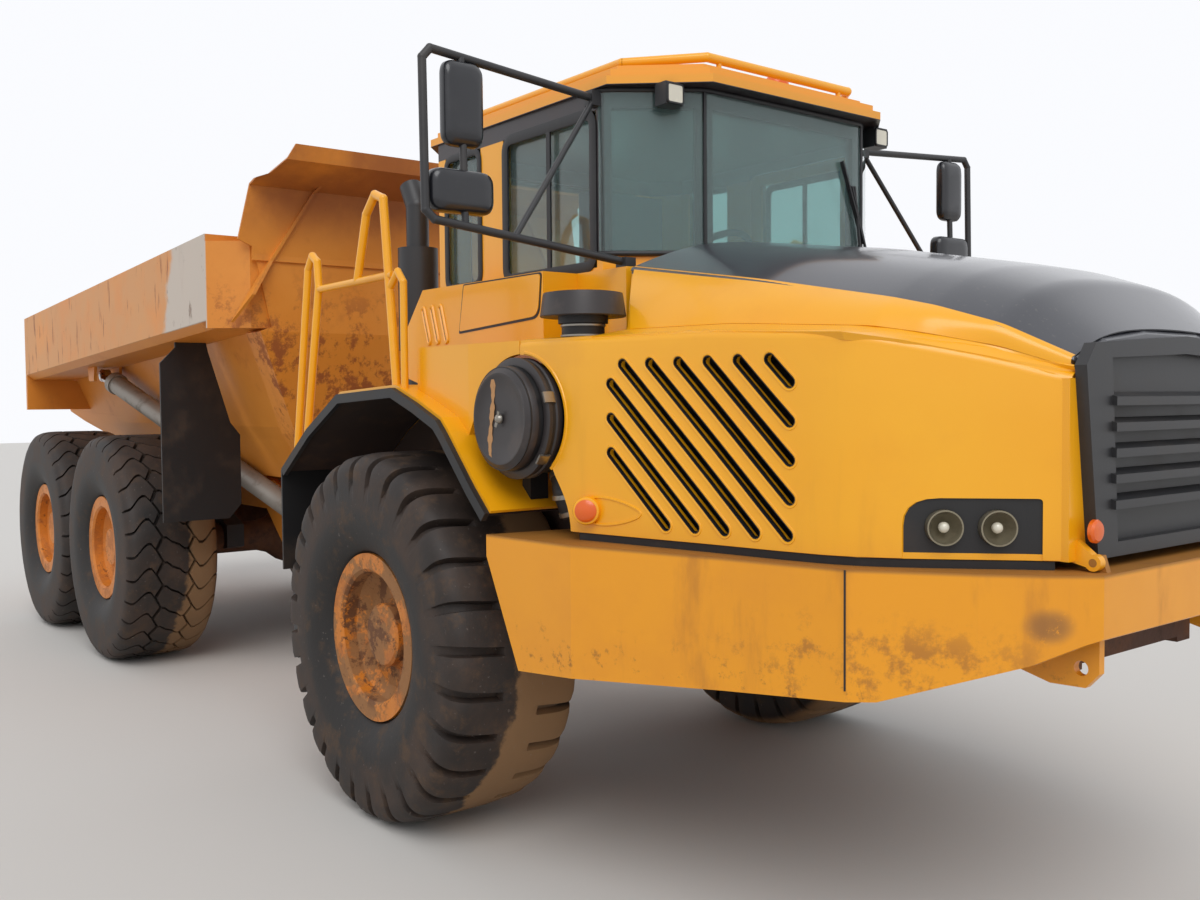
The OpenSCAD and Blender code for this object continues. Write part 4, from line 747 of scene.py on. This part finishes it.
def hood_upper():
    """The yellow bands and the black top: sheets lofted through the table's stations, each coordinate rounded along the
    hood. The band bulges a little; the top has an edge that stands over the band."""
    t, row = np.linspace(0, 5, 90), np.arange(6)
    crease, edge = (np.stack([soft(t, row, BAND_ROWS[:, k], 0.12) for k in ks], -1) for ks in ((0, 2, 3), (4, 5, 6)))
    crown = soft(t, row, BAND_ROWS[:, 7], 0.12)
    f = np.linspace(0, 1, 9)[None, :, None]
    band = crease[:, None] * (1 - f) + edge[:, None] * f
    band = band + np.sin(f * math.pi) * np.array([0, 0.010, 0.010]) + np.array([0, 0.004, 0.007])
    for side, word in SIDES:
        sheet = shell(band * [1, side, 1] + [AXLE, 0, 0], SHEET, (AXLE + 1.9, 0, 1.6))
        solid("hood_band_skin_" + word, [sheet], "yellow_paint", "hood", 60)
    x, out, up = edge.T
    back = 0.1 * (1 - smoothstep(t, 0, 1))
    half = [(x, out + .006, up - .022), (x, out + .004, up + .006),
            (x + back * 0.9, out * 0.72, (up + 2 * crown) / 3 + .012), (x + back, out * 0.3, crown + .011)]
    knots = [np.stack([a, side * b, c], -1) for side, rows in ((-1, half), (1, half[::-1])) for a, b, c in rows]
    place = np.concatenate([[0, .5, .85, 1, 1.12], np.linspace(1.25, 5.75, 25), [5.88, 6, 6.15, 6.5, 7]])
    grid = np.stack([spline_at(row, place) for row in np.stack(knots, 1)]) + [AXLE, 0, 0]
    solid("hood_top_skin", [shell(grid, SHEET, (AXLE + 1.9, 0, 1.2))], "hood_black", "hood", 50)


def headlamps():
    """Two reflector bowls with bulbs in each lamp opening, and a round marker lamp on each side of the nose."""
    aim = (math.cos(math.radians(41)), -math.sin(math.radians(41)), 0)
    spots = [(AXLE + x, -y, 1.552) for x, y in ((2.690, .900), (2.812, .792))]
    bowls = [turned([[.057, .030], [.052, .030], [.046, .010], [.034, -.010], [.016, -.021], [.008, -.0225],
                     [.008, -.0235], [.05, -.0235], [.057, -.02]], spot, aim, 40) for spot in spots]
    bulbs = [turned([[0, -.022], [.012, -.022], [.017, -.004], [.018, .008], [.013, .019], [0, .023]], spot, aim, 24)
             for spot in spots]
    for side, word in SIDES:
        solid("lamp_bowls_" + word, sided(bowls, side), "lamp_silver", "hood", 60)
        solid("lamp_bulbs_" + word, sided(bulbs, side), "lens_clear", "hood", 60)
        marker = turned([[0, 0], [.037, 0], [.037, .012], [.030, .019], [0, .023]], (AXLE + 3.029, side * .606, 1.545),
                        AHEAD, 32)
        solid("nose_marker_" + word, [marker], "amber_lens", "hood")


# ---------------------------------------------------------------- cab
CAB_SIDE, SILL = 0.8805, 2.552  # distance of the cab's sides from the middle plane, height of the windows' lower edge
# Window rubbers: lower corner ahead of the front axle, the way across, width, height, half width of the band, upright
# bars across the window, body
WINDOWS = {
    "side_window_rubber": ((0.19, -CAB_SIDE, SILL), AHEAD, 0.69, 0.665, 0.024, (0.36,)),
    "rear_window_rubber_right": ((-0.36, -CAB_SIDE, SILL), AHEAD, 0.32, 0.665, 0.018),
    "rear_window_rubber_left": ((-0.04, CAB_SIDE, SILL), BACK, 0.32, 0.665, 0.018),
    "door_window_rubber": ((0.81, CAB_SIDE, SILL), BACK, 0.56, 0.62, 0.022, (0.28,), "door"),
    "back_window_rubber": ((-0.6205, -0.59, 2.612), LEFT, 1.18, 0.605, 0.022),
}


def window_rubber(name, corner, across, wide, high, band, bars=(), body="front_unit"):
    """A rubber frame round a window: a flat band with rounded corners, standing 8 mm out, and upright bars."""
    corner, across = np.array(corner) + [AXLE, 0, 0], np.array(across)
    out = np.cross(across, UP)
    flat = rounded(rectangle(0, wide, 0, high), 0.06, 7)
    parts = [sweep(corner + flat[:, :1] * across + flat[:, 1:] * UP, out,
                   [[-band, -.004], [band, -.004], [band, .005], [band * .6, .008], [-band * .6, .008], [-band, .005]])]
    for at in bars:
        foot = corner + at * across
        parts.append(bar(foot, foot + [0, 0, high], out, rectangle(-.014, .014, -.003, .006)))
    solid(name, parts, "black_seals_and_shade", body)


def windscreen():
    """The curved pane that covers the front posts, in a rubber gasket, and its wiper."""
    plan = np.array([[.902, -.8875], [.945, -.886], [1.205, -.527], [1.2085, -.30], [1.209, 0]])
    plan = np.vstack([plan, plan[-2::-1] * [1, -1]])
    run = lengths(plan)
    t = np.linspace(0, run[-1], 73)
    line = np.stack([soft(t, run, c, 0.05) for c in plan.T], -1) + [AXLE + 0.008, 0]
    grid = np.stack([np.insert(line, 2, z, axis=1) for z in np.linspace(2.60, 3.304, 5)], 1)
    solid("windscreen", [shell(grid, 0.004, (AXLE, 0, 3))], "clear_glass", "front_unit", 60)
    out = np.insert(np.gradient(line, axis=0)[:, ::-1] * [1, -1], 2, 0, axis=1)
    out /= np.linalg.norm(out, axis=1, keepdims=True)
    gasket = [sweep(np.insert(line, 2, z, axis=1), out, oval(0.012, 0.007, 8), False) for z in (2.60, 3.302)]
    gasket += [box((AXLE + 1.2075, y - .008, 2.61), (AXLE + 1.2145, y + .008, 3.29)) for y in (-0.525, 0.525)]
    solid("windscreen_gasket", gasket, "black_seals_and_shade", "front_unit", 50)
    wiper = [bar((AXLE + 1.235, y, 2.61), (AXLE + 1.232, y + tilt, 2.99), AHEAD, oval(.007, .007))
             for y, tilt in ((0.56, -0.13), (0.50, -0.05))]
    wiper.append(bar((AXLE + 1.228, 0.52, 2.72), (AXLE + 1.228, 0.36, 3.10), AHEAD,
                     [[-.008, -.006], [.008, -.006], [.004, .012], [-.004, .012]]))
    wiper.append(turned([[0, -.02], [.028, -.02], [.028, .012], [0, .016]], (AXLE + 1.228, 0.55, 2.61), AHEAD, 16))
    solid("wiper", wiper, "black_seals_and_shade", "front_unit")


def work_lamps():
    """Rims and glasses of the two lamps under the visor."""
    rims, faces, front = [], [], AXLE + 1.2005
    for y in (-0.69, 0.69):
        ring = rounded(rectangle(y - .044, y + .044, 3.222, 3.302), .014)
        rims.append(sweep(np.insert(ring, 0, front, axis=1), AHEAD, oval(.007, .009)))
        faces.append(box((front - .002, y - .042, 3.224), (front + .006, y + .042, 3.300)))
    solid("work_lamp_rims", rims, "black_seals_and_shade", "front_unit", 50)
    solid("work_lamp_glasses", faces, "lens_clear", "front_unit")


def mirrors():
    """The four mirror heads: rounded shells with a domed front and a flat glass at the back, in place of the plain
    ones."""
    heads, panes = [], []
    for x0, x1, y0, y1, z0, z1, r in ((.94, 1.0, -1.69, -1.51, 2.96, 3.29, .05),
                                      (.93, 1.005, -1.755, -1.465, 2.70, 2.87, .055)):
        flat = rounded(rectangle(y0, y1, z0, z1), r, 8)
        mid = flat.mean(0)
        dome = ((x0, .93), (x0 + .004, .97), (x0 + .012, 1), (x0 + .6 * (x1 - x0), .99), (x1 - .012, .93),
                (x1 - .003, .80), (x1, .55))
        heads.append(tube(np.stack([np.insert(mid + (flat - mid) * f, 0, AXLE + x, axis=1) for x, f in dome])))
        panes.append(prism(mid + (flat - mid) * .88, AXLE + x0 - .0015, AXLE + x0 + .001, 0))
    made = solid("mirror_heads", heads + sided(heads, 1), "moulded_gloss", "front_unit", 50)
    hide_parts("mirrors")
    solid("mirror_glasses", panes + sided(panes, 1), "rod_chrome", "front_unit")


# ---------------------------------------------------------------- air cleaner, pre-cleaner, cowl and fenders
def air_cleaner():
    """The cover with its raised rings, wing nut, clips and pale smear, the canister's bands and the elbow's clamps."""
    out = (0, -1, 0)
    cover = ([[0, .336], [.10, .343], [.168, .344], [.176, .349], [.186, .349], [.192, .343], [.203, .338], [.212, .326],
              [.213, .300], [0, .300]],
             [[.2405, .205], [.2465, .215], [.2465, .232], [.2405, .238]],
             [[.2405, .252], [.2475, .258], [.2475, .272], [.2405, .2765], [.216, .2785], [.216, .270]])
    solid("air_cleaner_cover", [turned(outline, CANISTER, out, 72) for outline in cover], "cover_dark", "front_unit",
          40)
    nut = [turned([[0, .343], [.020, .343], [.018, .356], [.010, .362], [0, .364]], CANISTER, out, 20)]
    for turn in np.radians([70, 250]):
        spoke = np.array([math.cos(turn), 0, math.sin(turn)])
        nut.append(bar(CANISTER + .010 * spoke - [0, .354, 0], CANISTER + .034 * spoke - [0, .357, 0], out,
                       oval(.008, .004)))
    solid("air_cleaner_wing_nut", nut, "bare_steel", "front_unit", 50)
    clips = []
    for turn in np.radians([20, 140, 200, 320]):
        spoke, along = np.array([math.cos(turn), 0, math.sin(turn)]), np.array([-math.sin(turn), 0, math.cos(turn)])
        at = CANISTER + .249 * spoke - [0, .262, 0]
        clips.append(bar(at - along * .022, at + along * .022, spoke,
                         [[-.030, -.006], [.022, -.006], [.022, .002], [.004, .007], [-.030, .003]]))
    solid("air_cleaner_clips", clips, "bare_steel", "front_unit")
    z = np.linspace(-.168, .160, 26)
    wide = .013 + .004 * np.sin(z * 60) + .003 * np.sin(z * 143 + 1)
    x = -.062 + .012 * np.sin(z * 14) + .015 * (z + .17)
    grid = np.stack([np.stack([x + wide * f, np.full(len(z), -.3445), z], -1) for f in (-1, 0, 1)], 1) + CANISTER
    smear = shell(grid, 0.0015, CANISTER * [1, 0, 1])
    solid("cover_smear", [smear], "pale_streak", "front_unit", 60)
    clamps = [turned([[.0615, -.011], [.067, -.009], [.067, .009], [.0615, .011]], (AXLE + x, y, z), aim, 32)
              for x, y, z, aim in ((1.083, -1.199, 1.66, (.5, -.2, -1.3)), (1.112, -1.207, 1.575, (.1, .1, -1)),
                                   (1.126, -1.186, 1.515, (.1, .15, -.5)))]
    solid("elbow_clamps", clamps, "bare_steel", "front_unit", 50)


def pre_cleaner():
    """The cap's rolled rim and domed top, and two bright bands round its neck."""
    cap = [[0, .186], [.10, .185], [.140, .183], [.1585, .1795], [.161, .170], [.1715, .098], [.173, .090],
           [.170, .0865], [.10, .0895], [0, .0895]]
    solid("pre_cleaner_cap", [turned(cap, PRE_CLEANER, UP, 64)], "cover_dark", "hood", 40)
    bands = [turned([[.0865, z], [.0905, z + .002], [.0905, z + .009], [.0865, z + .011]], PRE_CLEANER, UP, 48)
             for z in (.006, .046)]
    solid("pre_cleaner_bands", bands, "bare_steel", "hood", 50)


def cowl_details():
    """The locker's lid on the right of the cowl with a dark gap round it, and three slanting louvres behind it, their
    openings flat black discs of painted shade.
    """
    face = -1.1005
    lid = rounded([[.115, 2.30], [.765, 2.335], [.785, 2.515], [.16, 2.515]], [.012, .05, .02, .012])
    gap = rounded([[.105, 2.289], [.773, 2.324], [.794, 2.522], [.15, 2.522]], [.012, .055, .02, .012])
    for name, flat, thick, finish in (("locker_lid_right", lid, .005, "yellow_paint"),
                                      ("locker_gap_right", gap, .0018, "black_seals_and_shade")):
        solid(name, [prism(flat + [AXLE, 0], face - thick, face + .002)], finish, "front_unit")
    lips, dark = [], []
    for x in AXLE - .235 + .083 * np.arange(3):
        outer, inner = (stadium([x, 2.425], [x + .055, 2.265], r) for r in (.013, .011))
        lips.append(sweep(np.insert(outer, 1, face - .001, axis=1), (0, -1, 0), oval(.009, .008)))
        # Flat black discs stand in for the louvres' shaded openings: painted shade
        dark.append(prism(inner, face - .002, face + .002))
    solid("locker_louvres_right", lips, "yellow_paint", "front_unit", 50)
    solid("locker_louvre_shade_right", dark, "black_seals_and_shade", "front_unit")


# The wheel arch over the front wheel: station and height, from the front end to the rear one
ARCH = np.array([[.945, 1.51], [.835, 1.611], [.617, 1.835], [.56, 1.886], [.371, 1.96], [.162, 2.03], [-.4, 2.005],
                 [-.76, 1.828], [-1.09, 1.61]])


def fender_wells():
    """Dark linings under both fenders and on the wells' inner walls: dried mud, darkened further as painted shade under
    the fenders.
    """
    inner = ARCH + [AXLE, -.0165]
    inner[0] += [-.012, .006]
    inner[-1] += [.012, 0]
    wall = np.vstack([inner - [0, .004], [[AXLE - 1.07, 1.06], [AXLE + .93, 1.06]]])
    # The linings' near-black brown is dried mud and painted shade under the fenders and in the wells
    for side, word in SIDES:
        grid = np.stack([np.insert(inner, 1, side * y, axis=1) for y in (1.478, 1.2, .906)], 1)
        parts = [shell(grid, -.004, (AXLE, side * 1.2, 1.0)), prism(wall, side * .9015, side * .907)]
        solid("fender_lining_" + word, parts, "dark_mud_and_shade", "front_unit")


# ---------------------------------------------------------------- behind the slots, bumper and chute
def ribbed(knots, radius, pitch=0.034, deep=0.07):
    """A ribbed hose: circles along a smooth line, their radius a wave with the ribs' pitch."""
    line = spline_at(knots, np.linspace(0, len(knots) - 1, 240))
    run = lengths(line)
    at = np.linspace(0, run[-1], int(run[-1] / pitch * 6))
    line = np.stack([np.interp(at, run, c) for c in line.T], -1)
    ahead = np.gradient(line, axis=0)
    side = np.cross(ahead, UP)
    up = np.cross(side, ahead)
    side, up = (v / np.linalg.norm(v, axis=1, keepdims=True) for v in (side, up))
    wave = np.sin(at * 2 * math.pi / pitch)
    r = radius * (1 + deep * np.sign(wave) * np.abs(wave) ** .6)
    ring = r[:, None, None] * oval(1, 1, 24)
    return tube(line[:, None] + side[:, None] * ring[..., :1] + up[:, None] * ring[..., 1:])


def behind_the_slots():
    """Two ribbed hoses, a dark plate behind the engine as painted shade that keeps the slots dark, and a dark seal
    under the hood's skirt.
    """
    hoses = ((.082, [[.96, -.80, 2.02], [1.35, -.84, 2.07], [1.75, -.82, 1.98], [2.15, -.72, 1.80], [2.52, -.46, 1.66]]),
             (.045, [[.96, -.78, 1.78], [1.35, -.86, 1.80], [1.75, -.84, 1.72], [2.15, -.74, 1.62], [2.52, -.46, 1.56]]))
    solid("air_hoses", [ribbed(np.array(knots) + [AXLE, 0, 0], radius) for radius, knots in hoses], "black_seals_and_shade",
          "front_unit", 60)
    # A dark plate across the rear of the engine bay: painted shade, so no light shows through the hood's slots
    shade_bulkhead = box((AXLE + .925, -.88, 1.44), (AXLE + .935, .88, 1.955))
    solid("shade_bulkhead", [shade_bulkhead], "dark_mud_and_shade", "front_unit")
    x = np.linspace(1.30, 2.94, 40)
    seal = sweep(np.stack([AXLE + x, .022 - side_out(x), np.full(len(x), 1.4335)], -1), side_normal(x),
                 rectangle(-.0135, .0135, -.006, .006), False)
    solid("skirt_seals", [seal, mirrored(seal)], "black_seals_and_shade", "front_unit")


def bumper_seams():
    """The dark joint lines between the bumper's wings and its middle part."""
    out = np.array([.572, -.820, 0])
    foot = np.array([AXLE + 2.500, -1.1500, 0]) + out * .0015
    seam = bar(foot + [0, 0, 1.418], foot + [0, 0, 1.03], out, rectangle(-.0032, .0032, -.003, .0012))
    solid("bumper_seams", [seam, mirrored(seam)], "black_seals_and_shade", "front_unit")


def chute_corners():
    """Sheets that carry the trough's lower slopes on beside the rising chute, from the chute's edge up to the side
    walls."""
    trough = np.array([[.600, 1.420], [.760, 1.710], [.825, 1.800], [1.100, 2.450]])
    x = np.linspace(-6.29, -8.02, 30)
    low = 1.446 + (-6.30 - x) * .46 / 1.77
    high = np.interp(x, [-8.03, -6.30], [1.9187, 1.8587])
    level = low[:, None] + (high - low)[:, None] * np.linspace(0, 1, 12)
    out = np.interp(level, trough[:, 1], trough[:, 0]) - .001
    sheet = shell(np.stack([AXLE + x[:, None] + 0 * level, -out, level], -1), .012, (AXLE - 7.2, 0, 2.6))
    solid("chute_corners", [sheet, mirrored(sheet)], "ochre_paint", "dump_body")


for side, word in SIDES:
    hood_side(side, word)
hood_upper()
headlamps()
for name, values in WINDOWS.items():
    window_rubber(name, *values)
windscreen()
work_lamps()
mirrors()
air_cleaner()
pre_cleaner()
cowl_details()
fender_wells()
behind_the_slots()
bumper_seams()
chute_corners()


# ---------------------------------------------------------------- camera, light and floor
def camera():
    """The photo's view: place, heading, pitch and roll from the fit, with the photo's field of view."""
    heading, pitch, roll = np.radians([141.68, -2.42, -0.47])
    ahead = np.array([math.cos(pitch) * math.cos(heading), math.cos(pitch) * math.sin(heading), math.sin(pitch)])
    right = np.cross(ahead, UP)
    right /= np.linalg.norm(right)
    up = np.cross(right, ahead)
    right, up = right * math.cos(roll) + up * math.sin(roll), up * math.cos(roll) - right * math.sin(roll)
    data = bpy.data.cameras.new("photo_camera")
    data.sensor_width, data.lens, data.clip_end = 36.0, 36.0 * 1150 / 1200, 200
    made = linked("photo_camera", data)
    turn = Matrix(np.stack([right, up, -ahead], 1).tolist()).to_4x4()
    turn.translation = (AXLE + 4.87, -4.01, 1.96)
    made.matrix_world = turn
    bpy.context.scene.camera = made


def floor():
    """A wide pale floor, a light warm grey."""
    mesh = bpy.data.meshes.new("studio_floor")
    mesh.from_pydata([(-60, -60, 0), (60, -60, 0), (60, 60, 0), (-60, 60, 0)], [], [(0, 1, 2, 3)])
    made = linked("studio_floor", mesh)
    material = bpy.data.materials.new("studio_floor")
    material.use_nodes = True
    shader = material.node_tree.nodes["Principled BSDF"]
    shader.inputs["Base Color"].default_value = linear("#CFCBC6")
    shader.inputs["Roughness"].default_value = 0.8
    mesh.materials.append(material)


def lights():
    """An even pale sky, brighter where the camera sees it straight, in glass or in a reflection, and one broad soft
    lamp high on the right of the nose."""
    world = bpy.data.worlds.new("studio_sky")
    bpy.context.scene.world = world
    world.use_nodes = True
    nodes, links = world.node_tree.nodes, world.node_tree.links
    seen_sky, mix, path = (nodes.new("ShaderNode" + kind) for kind in ("Background", "MixShader", "LightPath"))
    for sky, colour, strength in ((nodes["Background"], (0.93, 0.96, 1.0, 1), 0.75),
                                  (seen_sky, (0.96, 0.97, 1.0, 1), 1.0)):
        sky.inputs["Color"].default_value = colour
        sky.inputs["Strength"].default_value = strength
    seen = path.outputs["Is Camera Ray"]
    for ray in ("Is Glossy Ray", "Is Transmission Ray"):
        either = nodes.new("ShaderNodeMath")
        either.operation = "MAXIMUM"
        links.new(seen, either.inputs[0])
        links.new(path.outputs[ray], either.inputs[1])
        seen = either.outputs[0]
    for socket, value in enumerate((seen, nodes["Background"].outputs[0], seen_sky.outputs[0])):
        links.new(value, mix.inputs[socket])
    links.new(mix.outputs[0], nodes["World Output"].inputs["Surface"])
    lamp = bpy.data.lights.new("soft_sun", "SUN")
    lamp.energy, lamp.angle = 1.3, math.radians(40)
    made = linked("soft_sun", lamp)
    made.rotation_euler = (math.radians(42), math.radians(12), math.radians(40))
    bpy.context.scene.view_settings.view_transform = "Standard"


camera()
floor()
lights()
